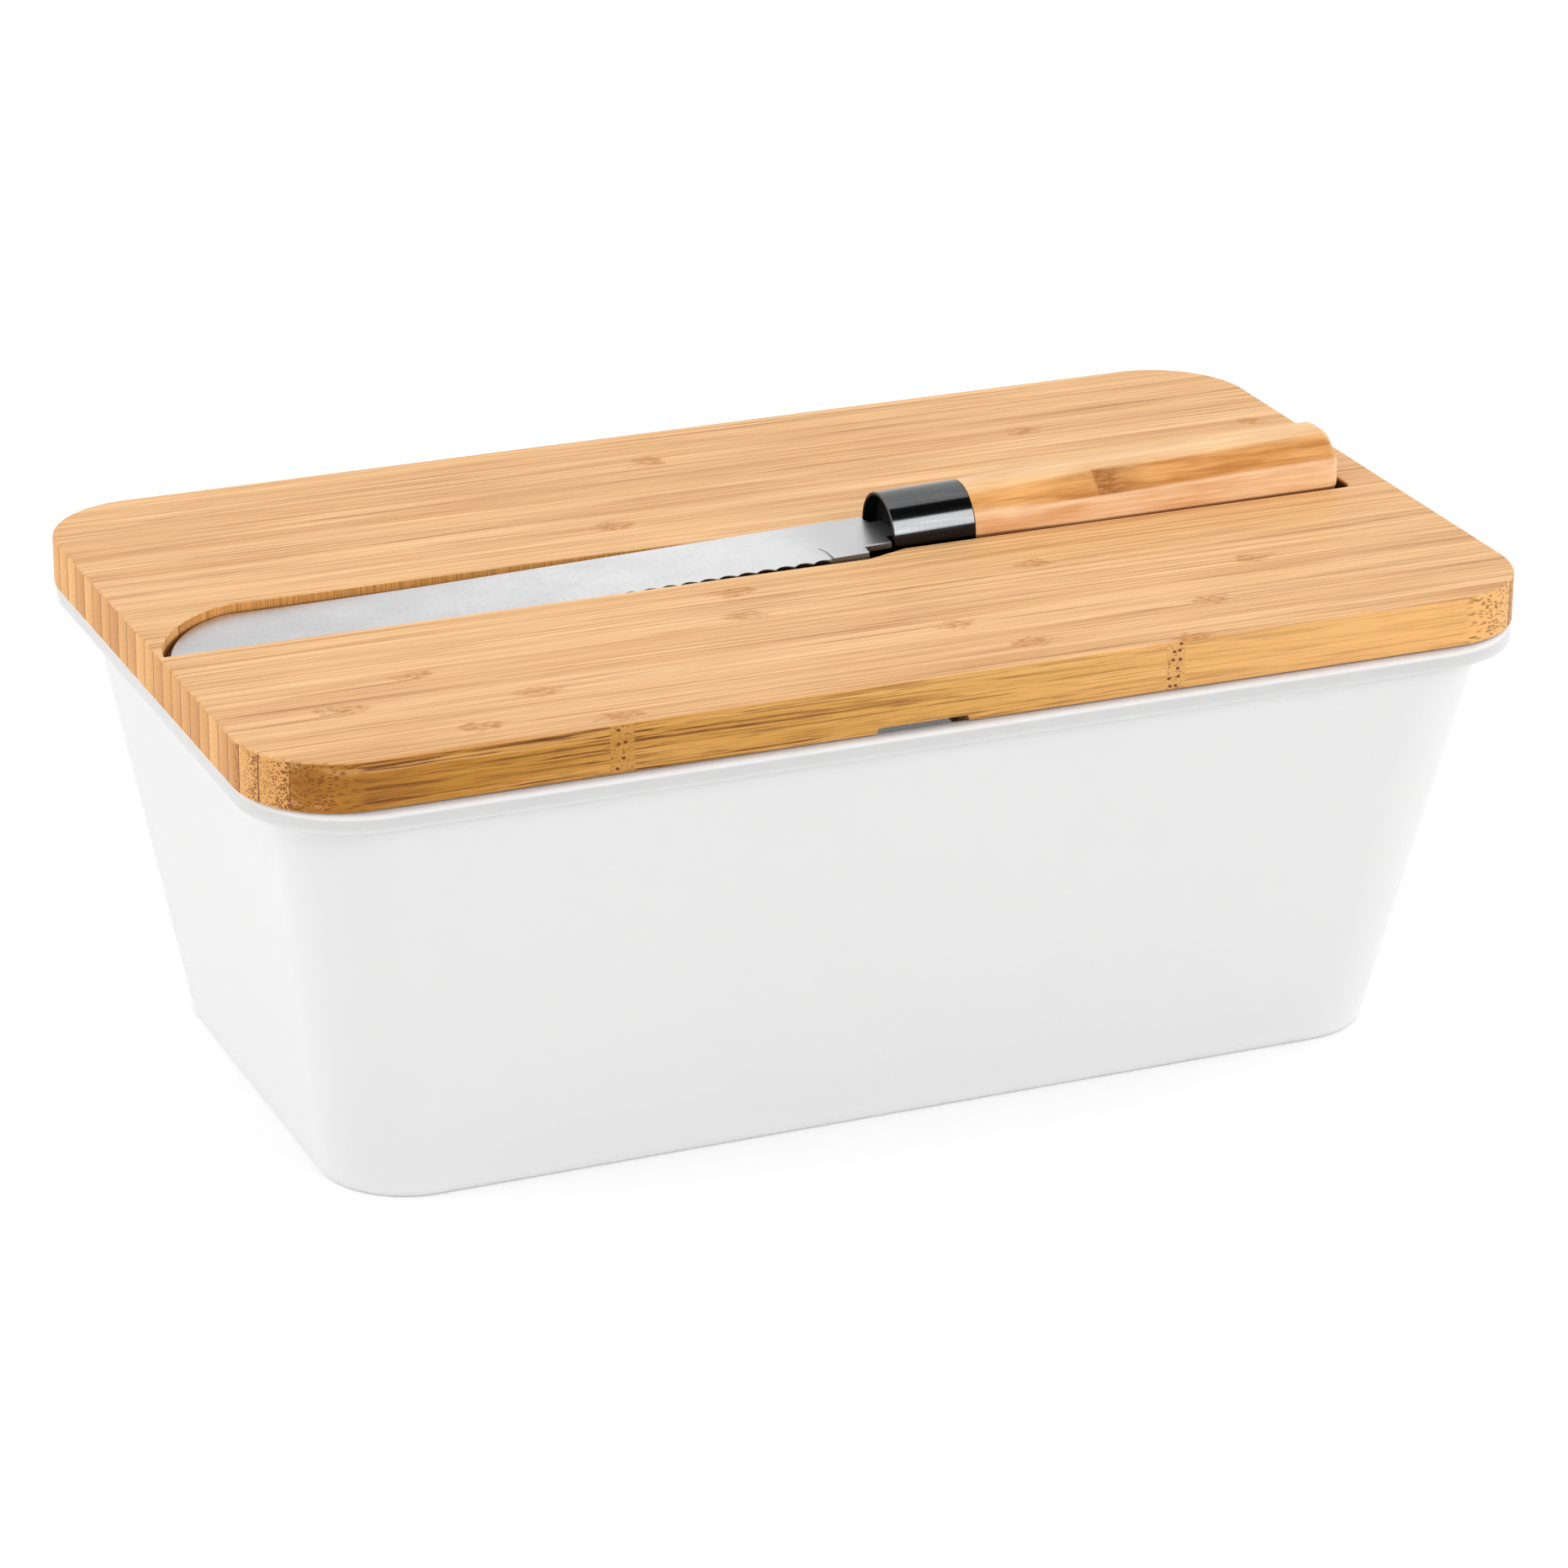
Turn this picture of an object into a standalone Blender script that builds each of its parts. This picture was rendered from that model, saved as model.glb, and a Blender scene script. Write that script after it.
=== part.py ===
"""Bread box: a tapered moulded bin, a bamboo lid that is also the cutting board, and a bread knife that lies in it.

Metres, +Z up, +X along the length, +Y away from the knife's cutting edge. The origin is the middle of the
bin's underside. The lid lies loose on the rim, and the knife lies loose in the pocket cut into the lid.
"""

import math

import bmesh
import bpy
from mathutils import Matrix, Vector

# Gap that neighbouring pieces keep, and how far every cutter runs past the face that it opens
SEAT_GAP = 0.0003
CUT_OVERRUN = 0.004

# Knife, measured along its own axis from the front face of the ferrule
KNIFE_LINE = -0.0007
KNIFE_RISE = 0.0009
KNIFE_TILT = math.radians(1.35)
BLADE_REACH = 0.2080
BLADE_THICK = 0.0020
BLADE_EDGE_THICK = 0.0004
BLADE_EDGE_LINE = -0.0157
BLADE_SPINE_HEEL = 0.0116
BLADE_SPINE_TIP = 0.0142
BLADE_GRIND = 0.0065
TIP_CURVE = 0.0243
TIP_BLUNT = 0.0012
SCALLOP_PITCH = 0.0057
SCALLOP_DEPTH = 0.0015
RICASSO = 0.0108
HEEL_PLACE = 0.0095
HEEL_SLOPE = 0.0005
NECK_INSET = 0.0002
TANG_WIDTH = 0.0120
TANG_REACH = 0.0620

# Ferrule, its inner plug and the handle behind it
FERRULE_RADIUS = 0.0113
FERRULE_WALL = 0.0009
FERRULE_ROUND = 0.0003
FERRULE_LENGTH = 0.0243
FERRULE_PLUG_PLACE = 0.0036
FERRULE_PLUG_LENGTH = 0.0095
HANDLE_LENGTH = 0.1134
HANDLE_HALF_WIDTH = 0.0120
HANDLE_HALF_HEIGHT = 0.0110
HANDLE_SWELL = 0.0350
HANDLE_END_ROUND = 0.0032
TANG_CLEARANCE = 0.0003
TANG_SLOT_SPARE = 0.0020

# Knife pocket, cut into the lid in two depths, with the board that is left beyond each end of it
BLADE_POCKET_SIDE = 0.0006
BLADE_POCKET_BACK = 0.0014
BLADE_POCKET_WIDE = 0.0034
BLADE_POCKET_TIP = 0.0026
BLADE_POCKET_LEAD = 0.0030
BLADE_POCKET_LAP = 0.0002
BLADE_POCKET_CORNER = 0.0040
HANDLE_POCKET_SIDE = 0.0003
HANDLE_POCKET_START = 0.0010
HANDLE_POCKET_END = 0.0034
HANDLE_POCKET_CORNER = 0.0026
TIP_MARGIN = 0.0015
HANDLE_MARGIN = 0.0118

# Lid board, as long as the knife needs. The edge shows outside, and the plug hangs inside the bin's mouth
KNIFE_LENGTH = BLADE_REACH + FERRULE_LENGTH + HANDLE_LENGTH
LID_LENGTH = TIP_MARGIN + BLADE_POCKET_TIP + KNIFE_LENGTH + HANDLE_POCKET_END + HANDLE_MARGIN
LID_WIDTH = 0.2120
LID_CORNER = 0.0280
LID_EDGE = 0.0136
LID_ROUND = 0.0008
PLUG_DEPTH = 0.0045
PLUG_CLEARANCE = 0.0007
PLUG_ROUND = 0.0010
KNIFE_PLACE = TIP_MARGIN + BLADE_POCKET_TIP + BLADE_REACH - LID_LENGTH / 2

# Vent cut across the underside of the lid's front edge
VENT_CENTRE = -0.0036
VENT_WIDTH = 0.0253
VENT_HEIGHT = 0.0016
VENT_SPLAY = 0.0007
VENT_REACH = 0.0230

# Bin, one moulding. The lid lies this far over each side of the mouth, and the base is drawn in from it
BIN_HEIGHT = 0.1234
SEAT_END = 0.0106
SEAT_SIDE = 0.0019
MOUTH_LENGTH = LID_LENGTH - 2 * SEAT_END
MOUTH_WIDTH = LID_WIDTH - 2 * SEAT_SIDE
MOUTH_CORNER = 0.0260
MOUTH_ROUND = 0.0006
DRAW_END = 0.0178
DRAW_SIDE = 0.0249
BASE_CORNER = 0.0245
BASE_ROUND = 0.0010
WALL = 0.0022
FLOOR = 0.0028
FLOOR_ROUND = 0.0040

# Rim, turned down outside the wall with a channel between them
RIM_WALL = 0.0018
RIM_CHANNEL_END = 0.0059
RIM_CHANNEL_SIDE = 0.0009
RIM_LENGTH = MOUTH_LENGTH + 2 * (WALL + RIM_CHANNEL_END + RIM_WALL)
RIM_WIDTH = MOUTH_WIDTH + 2 * (WALL + RIM_CHANNEL_SIDE + RIM_WALL)
RIM_CORNER = 0.0310
RIM_DEPTH = 0.0048
RIM_ROUND = 0.0016

# Power of the rounded outlines: 2 is an ellipse, less is leaner, more is fuller
ROUND_POWER = 2
TIP_POWER = 1.65
HANDLE_POWER = 2.4
SPINE_POWER = 1.5

# Where along the blade its back starts to rise, and where the pocket's back bends in
SPINE_RISE_SHARE = 0.6
POCKET_BEND_SHARE = 0.38

CORNER_STEPS = 8
ROUND_STEPS = 3
TIP_STEPS = 12
SCALLOP_STEPS = 5
TUBE_STEPS = 44
POCKET_CORNER_STEPS = 4
SWELL_STEPS = 6

LID_LOW = BIN_HEIGHT + SEAT_GAP
LID_TOP = LID_LOW + LID_EDGE


def material(name, colour, roughness, metallic):
    made = bpy.data.materials.new(name)
    made.use_nodes = True
    shader = made.node_tree.nodes["Principled BSDF"]
    shader.inputs["Base Color"].default_value = (*colour, 1)
    shader.inputs["Roughness"].default_value = roughness
    shader.inputs["Metallic"].default_value = metallic
    made.diffuse_color = (*colour, 1)
    return made


def add_object(name, points, faces, finish=None):
    """A mesh object whose faces all point out."""
    mesh = bpy.data.meshes.new(name)
    shape = bmesh.new()
    corners = [shape.verts.new(point) for point in points]
    for face in faces:
        shape.faces.new([corners[index] for index in face])
    bmesh.ops.recalc_face_normals(shape, faces=shape.faces)
    shape.to_mesh(mesh)
    shape.free()
    mesh.shade_smooth()
    mesh.set_sharp_from_angle(angle=math.radians(30))
    made = bpy.data.objects.new(name, mesh)
    bpy.context.scene.collection.objects.link(made)
    if finish:
        mesh.materials.append(finish)
    return made


def loft(name, rings, finish=None):
    """A closed solid through rings of equally many points, with a flat cap on the first and the last."""
    size = len(rings[0])
    points = [point for ring in rings for point in ring]
    faces = [list(range(size)), [(len(rings) - 1) * size + index for index in range(size)]]
    for low in range(len(rings) - 1):
        for index in range(size):
            following = (index + 1) % size
            first, second = low * size, (low + 1) * size
            faces.append([first + index, first + following, second + following, second + index])
    return add_object(name, points, faces, finish)


def prism(name, outline, low, high):
    """An upright cutter with this outline. It is only a guide, so it isn't part of the object."""
    rings = [[Vector((x, y, level)) for x, y in outline] for level in (low, high)]
    return as_cutter(loft(name, rings))


def as_cutter(cutter):
    cutter.hide_render = True
    cutter.display_type = "WIRE"
    return cutter


def cut(piece, cutter):
    modifier = piece.modifiers.new(cutter.name, "BOOLEAN")
    modifier.operation = "DIFFERENCE"
    modifier.solver = "EXACT"
    modifier.object = cutter


def plan(length, width, corner, level, inset=0):
    """A level ring: a rectangle with round corners, drawn in by the inset."""
    length, width, corner = length - 2 * inset, width - 2 * inset, corner - inset
    ring = []
    for quarter in range(4):
        side_x = 1 if quarter in (0, 3) else -1
        side_y = 1 if quarter in (0, 1) else -1
        for step in range(CORNER_STEPS + 1):
            angle = (quarter + step / CORNER_STEPS) * math.pi / 2
            ring.append(
                Vector(
                    (
                        side_x * (length / 2 - corner) + corner * math.cos(angle),
                        side_y * (width / 2 - corner) + corner * math.sin(angle),
                        level,
                    )
                )
            )
    return ring


def wall_plan(level, inset=0):
    """The bin's outer wall at one level, drawn in by the inset. It runs straight from the base to the mouth."""
    share = level / BIN_HEIGHT
    mouth = (MOUTH_LENGTH + 2 * WALL, MOUTH_WIDTH + 2 * WALL, MOUTH_CORNER + WALL)
    base = (MOUTH_LENGTH - 2 * DRAW_END, MOUTH_WIDTH - 2 * DRAW_SIDE, BASE_CORNER)
    length, width, corner = (low + (high - low) * share for low, high in zip(base, mouth))
    return plan(length, width, corner, level, inset)


def rim_plan(level, inset=0):
    return plan(RIM_LENGTH, RIM_WIDTH, RIM_CORNER, level, inset)


def lid_plan(level, inset=0):
    return plan(LID_LENGTH, LID_WIDTH, LID_CORNER, level, inset)


def quarter_round(radius):
    """(inset, drop) pairs from the top of a rounded edge, fully drawn in, down to its side."""
    pairs = []
    for step in range(ROUND_STEPS + 1):
        angle = step / ROUND_STEPS * math.pi / 2
        pairs.append((radius * (1 - math.sin(angle)), radius * (1 - math.cos(angle))))
    return pairs


def make_bin(finish):
    """Rings up the outside, round the turned-down rim, and down the inside to the floor."""
    rings = [wall_plan(drop, inset) for inset, drop in quarter_round(BASE_ROUND)]
    rings.append(wall_plan(BIN_HEIGHT - RIM_WALL))
    rings.append(rim_plan(BIN_HEIGHT - RIM_WALL, RIM_WALL))
    rings.append(rim_plan(BIN_HEIGHT - RIM_DEPTH, RIM_WALL))
    rings.append(rim_plan(BIN_HEIGHT - RIM_DEPTH))
    for inset, drop in reversed(quarter_round(RIM_ROUND)):
        rings.append(rim_plan(BIN_HEIGHT - drop, inset))
    for inset, drop in quarter_round(MOUTH_ROUND):
        rings.append(wall_plan(BIN_HEIGHT - drop, WALL - inset))
    for inset, drop in reversed(quarter_round(FLOOR_ROUND)):
        rings.append(wall_plan(FLOOR + drop, WALL + inset))
    return loft("bin", rings, finish)


def plug_plan(level, inset=0):
    """The lid's plug follows the taper of the mouth."""
    return wall_plan(level, WALL + PLUG_CLEARANCE + inset)


def make_lid(finish):
    rings = [lid_plan(LID_TOP - drop, inset) for inset, drop in quarter_round(LID_ROUND)]
    rings.append(lid_plan(LID_LOW))
    rings.append(plug_plan(LID_LOW))
    for inset, drop in reversed(quarter_round(PLUG_ROUND)):
        rings.append(plug_plan(LID_LOW - PLUG_DEPTH + drop, inset))
    lid = loft("lid_board", rings, finish)
    cut(lid, make_vent())
    cut(lid, prism("blade_pocket", blade_pocket_outline(), blade_pocket_floor(), LID_TOP + CUT_OVERRUN))
    top = LID_TOP + 2 * CUT_OVERRUN
    cut(lid, prism("handle_pocket", handle_pocket_outline(), handle_pocket_floor(), top))
    return lid


def make_vent():
    """A channel from the front edge inwards, open below, with ends that splay outwards."""
    front = -LID_WIDTH / 2 - CUT_OVERRUN
    back = -LID_WIDTH / 2 + VENT_REACH
    ceiling, floor = LID_LOW + VENT_HEIGHT, LID_LOW - PLUG_DEPTH - CUT_OVERRUN
    upper, lower = VENT_WIDTH / 2, VENT_WIDTH / 2 + VENT_SPLAY
    outline = ((-upper, ceiling), (upper, ceiling), (lower, LID_LOW), (lower, floor), (-lower, floor), (-lower, LID_LOW))
    rings = [[Vector((VENT_CENTRE + x, y, z)) for x, z in outline] for y in (front, back)]
    return as_cutter(loft("vent", rings))


def spine_line(place):
    """How far the blade's back lies from the knife's axis, at this place along it. It rises towards the tip."""
    start = -BLADE_REACH * SPINE_RISE_SHARE
    end = TIP_CURVE - BLADE_REACH
    share = min(max((place - start) / (end - start), 0), 1)
    return BLADE_SPINE_HEEL + (BLADE_SPINE_TIP - BLADE_SPINE_HEEL) * share**SPINE_POWER


def tip_curve(reach, back, front, curve):
    """Points from where the back starts to turn, round to the point where the tip meets the edge line."""
    points = []
    for step in range(TIP_STEPS + 1):
        angle = step / TIP_STEPS * math.pi / 2
        along = math.sin(angle) ** (2 / TIP_POWER)
        across = max(math.cos(angle), 0) ** (2 / TIP_POWER)
        points.append((-reach + curve * (1 - along), front + (back - front) * across))
    return points


def rounded_corner(before, corner, after, radius):
    """Points of an arc that rounds this corner of an outline."""
    before, corner, after = Vector(before), Vector(corner), Vector(after)
    one, two = (before - corner).normalized(), (after - corner).normalized()
    half = one.angle(two) / 2
    middle = corner + (one + two).normalized() * radius / math.sin(half)
    start = corner + one * radius / math.tan(half) - middle
    end = corner + two * radius / math.tan(half) - middle
    points = []
    for step in range(POCKET_CORNER_STEPS + 1):
        share = step / POCKET_CORNER_STEPS
        spoke = start.lerp(end, share).normalized() * radius
        points.append(tuple(middle + spoke))
    return points


def world_x(place):
    return KNIFE_PLACE + place * math.cos(KNIFE_TILT)


def axis_height(place):
    """How high the knife's axis lies above the board's face, at this place along it."""
    return KNIFE_RISE + place * math.sin(KNIFE_TILT)


def blade_pocket_floor():
    return LID_TOP + axis_height(-BLADE_REACH) - BLADE_THICK / 2 - SEAT_GAP


def handle_pocket_floor():
    return LID_TOP + axis_height(0) - FERRULE_RADIUS - SEAT_GAP


def blade_pocket_outline():
    """The blade's outline, wider along its back, which runs on to meet the handle's pocket inside its sides."""
    front = KNIFE_LINE + BLADE_EDGE_LINE - BLADE_POCKET_SIDE
    back_tip = KNIFE_LINE + BLADE_SPINE_TIP + BLADE_POCKET_BACK
    back_bend = KNIFE_LINE + BLADE_SPINE_HEEL + BLADE_POCKET_WIDE
    half = HANDLE_HALF_WIDTH + HANDLE_POCKET_SIDE - BLADE_POCKET_LAP
    end, heel = world_x(BLADE_POCKET_LEAD), world_x(-HEEL_PLACE)
    reach = LID_LENGTH / 2 - TIP_MARGIN
    corner = rounded_corner((-reach, front), (heel, front), (end, KNIFE_LINE - half), BLADE_POCKET_CORNER)
    bend = (world_x(-BLADE_REACH * POCKET_BEND_SHARE), back_bend)
    tip = tip_curve(reach, back_tip, front, TIP_CURVE + 2 * BLADE_POCKET_TIP)
    return [(end, KNIFE_LINE + half), bend, *tip, *corner, (end, KNIFE_LINE - half)]


def handle_pocket_outline():
    """A slot with round corners, from just ahead of the ferrule to just past the handle's end."""
    half = HANDLE_HALF_WIDTH + HANDLE_POCKET_SIDE
    low, high = world_x(0) - HANDLE_POCKET_START, LID_LENGTH / 2 - HANDLE_MARGIN
    corners = [(low, KNIFE_LINE - half), (high, KNIFE_LINE - half), (high, KNIFE_LINE + half), (low, KNIFE_LINE + half)]
    outline = []
    for index, corner in enumerate(corners):
        outline += rounded_corner(corners[index - 1], corner, corners[(index + 1) % 4], HANDLE_POCKET_CORNER)
    return outline


def blade_stations():
    """(place, back, front, edge thickness, grind) from the tip to the end of the tang."""
    stations = []
    front = BLADE_EDGE_LINE
    for place, back in reversed(tip_curve(BLADE_REACH, BLADE_SPINE_TIP, front, TIP_CURVE)):
        back = max(back, front + TIP_BLUNT)
        stations.append((place, back, front, BLADE_EDGE_THICK, min(BLADE_GRIND, (back - front) / 2)))
    start = TIP_CURVE - BLADE_REACH
    run = -HEEL_PLACE - RICASSO - start
    count = round(run / SCALLOP_PITCH)
    for scallop in range(count):
        for step in range(1, SCALLOP_STEPS + 1):
            share = step / SCALLOP_STEPS
            place = start + run * (scallop + share) / count
            rise = SCALLOP_DEPTH * math.sin(math.pi * share)
            stations.append((place, spine_line(place), front + rise, BLADE_EDGE_THICK, BLADE_GRIND))
    heel = -HEEL_PLACE
    guard = heel - RICASSO + HEEL_SLOPE
    neck_back = FERRULE_RADIUS - NECK_INSET
    tang = TANG_WIDTH / 2
    full = BLADE_THICK - BLADE_EDGE_THICK
    stations.append((guard, spine_line(guard), front, full, HEEL_SLOPE))
    stations.append((heel, spine_line(heel), front, full, HEEL_SLOPE))
    stations.append((heel + HEEL_SLOPE, neck_back, -neck_back, full, HEEL_SLOPE))
    stations.append((-SEAT_GAP - HEEL_SLOPE, neck_back, -neck_back, full, HEEL_SLOPE))
    stations.append((-SEAT_GAP, tang, -tang, full, HEEL_SLOPE))
    stations.append((TANG_REACH, tang, -tang, full, HEEL_SLOPE))
    return stations


def make_blade(finish):
    """Six-sided sections: the back, the two grind lines and the edge, which scallops run along."""
    half = BLADE_THICK / 2
    rings = []
    for place, back, front, edge, grind in blade_stations():
        line = front + grind
        outline = (
            (back, half),
            (back, -half),
            (line, -half),
            (front, -edge / 2),
            (front, edge / 2),
            (line, half),
        )
        rings.append([Vector((place, y, z)) for y, z in outline])
    return loft("knife_blade", rings, finish)


def tube_ring(place, half_width, half_height, power=ROUND_POWER):
    """An upright ring round the knife's axis."""
    ring = []
    for step in range(TUBE_STEPS):
        angle = step / TUBE_STEPS * math.tau
        y = math.copysign(abs(math.cos(angle)) ** (2 / power), math.cos(angle))
        z = math.copysign(abs(math.sin(angle)) ** (2 / power), math.sin(angle))
        ring.append(Vector((place, half_width * y, half_height * z)))
    return ring


def make_ferrule(finish):
    """A short open tube."""
    inner = FERRULE_RADIUS - FERRULE_WALL
    profile = (
        (FERRULE_ROUND, inner),
        (0, inner + FERRULE_ROUND),
        (0, FERRULE_RADIUS - FERRULE_ROUND),
        (FERRULE_ROUND, FERRULE_RADIUS),
        (FERRULE_LENGTH, FERRULE_RADIUS),
        (FERRULE_LENGTH, inner),
    )
    rings = [tube_ring(place, radius, radius) for place, radius in profile]
    points = [point for ring in rings for point in ring]
    faces = []
    for index in range(len(rings)):
        first, second = index * TUBE_STEPS, (index + 1) % len(rings) * TUBE_STEPS
        for step in range(TUBE_STEPS):
            following = (step + 1) % TUBE_STEPS
            faces.append([first + step, first + following, second + following, second + step])
    return add_object("ferrule", points, faces, finish)


def tang_slot(name, low, high):
    """A cutter round the tang."""
    half_width = TANG_WIDTH / 2 + TANG_CLEARANCE
    half_height = BLADE_THICK / 2 + TANG_CLEARANCE
    sides = ((1, 1), (-1, 1), (-1, -1), (1, -1))
    rings = [[Vector((place, half_width * y, half_height * z)) for y, z in sides] for place in (low, high)]
    return as_cutter(loft(name, rings))


def make_ferrule_plug(finish):
    """The dark filling in the mouth of the ferrule, slotted for the tang."""
    radius = FERRULE_RADIUS - FERRULE_WALL - SEAT_GAP
    end = FERRULE_PLUG_PLACE + FERRULE_PLUG_LENGTH
    rings = [tube_ring(place, radius, radius) for place in (FERRULE_PLUG_PLACE, end)]
    plug = loft("ferrule_plug", rings, finish)
    slot = tang_slot("ferrule_plug_slot", FERRULE_PLUG_PLACE - CUT_OVERRUN, end + CUT_OVERRUN)
    cut(plug, slot)
    return plug, slot


def make_handle(finish):
    """A turned spigot inside the ferrule, and behind it the grip, which swells and ends in a soft round."""
    spigot = FERRULE_RADIUS - FERRULE_WALL - SEAT_GAP
    spigot_start = FERRULE_PLUG_PLACE + FERRULE_PLUG_LENGTH + SEAT_GAP
    shoulder = FERRULE_LENGTH + SEAT_GAP
    end = FERRULE_LENGTH + HANDLE_LENGTH
    rings = [tube_ring(spigot_start, spigot, spigot), tube_ring(shoulder, spigot, spigot)]
    for step in range(SWELL_STEPS + 1):
        share = step / SWELL_STEPS
        blend = (1 - math.cos(math.pi * share)) / 2
        width = FERRULE_RADIUS + (HANDLE_HALF_WIDTH - FERRULE_RADIUS) * blend
        height = FERRULE_RADIUS + (HANDLE_HALF_HEIGHT - FERRULE_RADIUS) * blend
        power = ROUND_POWER + (HANDLE_POWER - ROUND_POWER) * blend
        rings.append(tube_ring(shoulder + HANDLE_SWELL * share, width, height, power))
    for inset, drop in reversed(quarter_round(HANDLE_END_ROUND)):
        ring = tube_ring(end - drop, HANDLE_HALF_WIDTH - inset, HANDLE_HALF_HEIGHT - inset, HANDLE_POWER)
        rings.append(ring)
    handle = loft("knife_handle", rings, finish)
    slot = tang_slot("knife_handle_slot", spigot_start - CUT_OVERRUN, TANG_REACH + TANG_SLOT_SPARE)
    cut(handle, slot)
    return handle, slot


for old in list(bpy.data.objects):
    bpy.data.objects.remove(old, do_unlink=True)

white_plastic = material("white_plastic", (0.86, 0.86, 0.85), 0.42, 0)
bamboo = material("bamboo", (0.78, 0.53, 0.27), 0.5, 0)
dark_bamboo = material("dark_bamboo", (0.72, 0.42, 0.2), 0.45, 0)
brushed_steel = material("brushed_steel", (0.72, 0.73, 0.74), 0.28, 1)
black_steel = material("black_steel", (0.12, 0.12, 0.13), 0.16, 1)
black_plastic = material("black_plastic", (0.02, 0.02, 0.02), 0.5, 0)

make_bin(white_plastic)
make_lid(bamboo)

knife_axis = bpy.data.objects.new("knife_axis", None)
bpy.context.scene.collection.objects.link(knife_axis)
knife_axis.location = (KNIFE_PLACE, KNIFE_LINE, LID_TOP + KNIFE_RISE)
knife_axis.rotation_euler = (0, -KNIFE_TILT, 0)

ferrule_plug, plug_slot = make_ferrule_plug(black_plastic)
knife_handle, handle_slot = make_handle(dark_bamboo)
for piece in (make_blade(brushed_steel), make_ferrule(black_steel), ferrule_plug, plug_slot, knife_handle, handle_slot):
    piece.parent = knife_axis
    piece.matrix_parent_inverse = Matrix.Identity(4)
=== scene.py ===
"""Bread box with a board lid and a bread knife: its visible pieces, their looks, the light and the camera.

Metres, in the frame of the CAD model. Each piece follows the outlines of its CAD node, with more points,
eased edges and the facets of the knife's handle.
"""

import math

import bmesh
import bpy
from mathutils import Matrix, Vector


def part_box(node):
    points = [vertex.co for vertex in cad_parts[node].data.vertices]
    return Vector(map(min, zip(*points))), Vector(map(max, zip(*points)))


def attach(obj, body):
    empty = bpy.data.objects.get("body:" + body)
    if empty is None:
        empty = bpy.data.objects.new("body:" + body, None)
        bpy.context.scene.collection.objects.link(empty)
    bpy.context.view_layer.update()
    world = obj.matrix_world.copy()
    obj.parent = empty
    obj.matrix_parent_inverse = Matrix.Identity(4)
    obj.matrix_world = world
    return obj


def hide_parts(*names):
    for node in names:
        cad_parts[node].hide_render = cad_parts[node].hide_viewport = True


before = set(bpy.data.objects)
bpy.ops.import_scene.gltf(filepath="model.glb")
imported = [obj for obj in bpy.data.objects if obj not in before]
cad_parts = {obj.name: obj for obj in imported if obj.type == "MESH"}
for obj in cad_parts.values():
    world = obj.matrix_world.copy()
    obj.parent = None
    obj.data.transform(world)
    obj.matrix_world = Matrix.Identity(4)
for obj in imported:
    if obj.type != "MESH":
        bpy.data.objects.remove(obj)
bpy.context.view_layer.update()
BIN_LOW, BIN_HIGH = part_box("bin")
BOARD_LOW, BOARD_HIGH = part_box("lid_board")

# Gap between neighbouring pieces, and how far every cutter runs past the face that it opens
SEAT_GAP = 0.0003
CUT_OVERRUN = 0.004

# Board lid
BOARD_LENGTH = BOARD_HIGH.x - BOARD_LOW.x
BOARD_WIDTH = BOARD_HIGH.y - BOARD_LOW.y
BOARD_TOP = BOARD_HIGH.z
BOARD_CORNER = 0.0280
BOARD_ROUND = 0.0008
BOARD_EASE = 0.0003
PLUG_LOW = BOARD_LOW.z
PLUG_CLEARANCE = 0.0007
PLUG_ROUND = 0.0010

# Bin, with its rim turned down outside the wall
BIN_TOP = BIN_HIGH.z
SEAT_END = 0.0106
SEAT_SIDE = 0.0019
MOUTH_LENGTH = BOARD_LENGTH - 2 * SEAT_END
MOUTH_WIDTH = BOARD_WIDTH - 2 * SEAT_SIDE
MOUTH_CORNER = 0.0260
MOUTH_ROUND = 0.0006
DRAW_END = 0.0178
DRAW_SIDE = 0.0249
BASE_CORNER = 0.0245
BASE_ROUND = 0.0010
WALL = 0.0022
FLOOR = 0.0028
FLOOR_ROUND = 0.0040
RIM_LENGTH = BIN_HIGH.x - BIN_LOW.x
RIM_WIDTH = BIN_HIGH.y - BIN_LOW.y
RIM_WALL = 0.0018
RIM_CORNER = 0.0310
RIM_DEPTH = 0.0048
RIM_ROUND = 0.0016
RIM_FOOT_ROUND = 0.0004
BOARD_UNDER = BIN_TOP + SEAT_GAP

# Vent cut into the underside of the board from its front edge
VENT_CENTRE = -0.0036
VENT_WIDTH = 0.0253
VENT_HEIGHT = 0.0016
VENT_SPLAY = 0.0007
VENT_REACH = 0.0230

# Knife, measured along its own axis from the front face of the ferrule
KNIFE_PLACE = 0.0296
KNIFE_LINE = -0.0007
KNIFE_RISE = 0.0009
KNIFE_TILT = math.radians(1.35)
BLADE_REACH = 0.2080
BLADE_THICK = 0.0020
BLADE_EDGE_THICK = 0.0004
BLADE_EDGE_LINE = -0.0157
BLADE_SPINE_HEEL = 0.0116
BLADE_SPINE_TIP = 0.0142
BLADE_GRIND = 0.0065
GRIND_MOST = 0.4
GRIND_SOFT = 0.2
BLADE_EASE = 0.00015
PLUNGE = 0.0016
PLUNGE_RAMP = 0.0014
TIP_CURVE = 0.0243
TIP_BLUNT = 0.0012
SCALLOP_PITCH = 0.0057
SCALLOP_DEPTH = 0.0015
RICASSO = 0.0108
HEEL_PLACE = 0.0095
HEEL_SLOPE = 0.0005
NECK_INSET = 0.0002
TANG_WIDTH = 0.0120
TANG_REACH = 0.0620
FERRULE_RADIUS = 0.0113
FERRULE_WALL = 0.0009
FERRULE_ROUND = 0.0003
FERRULE_LENGTH = 0.0243
FERRULE_PLUG_PLACE = 0.0036
FERRULE_PLUG_LENGTH = 0.0095
HANDLE_LENGTH = 0.1134
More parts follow.
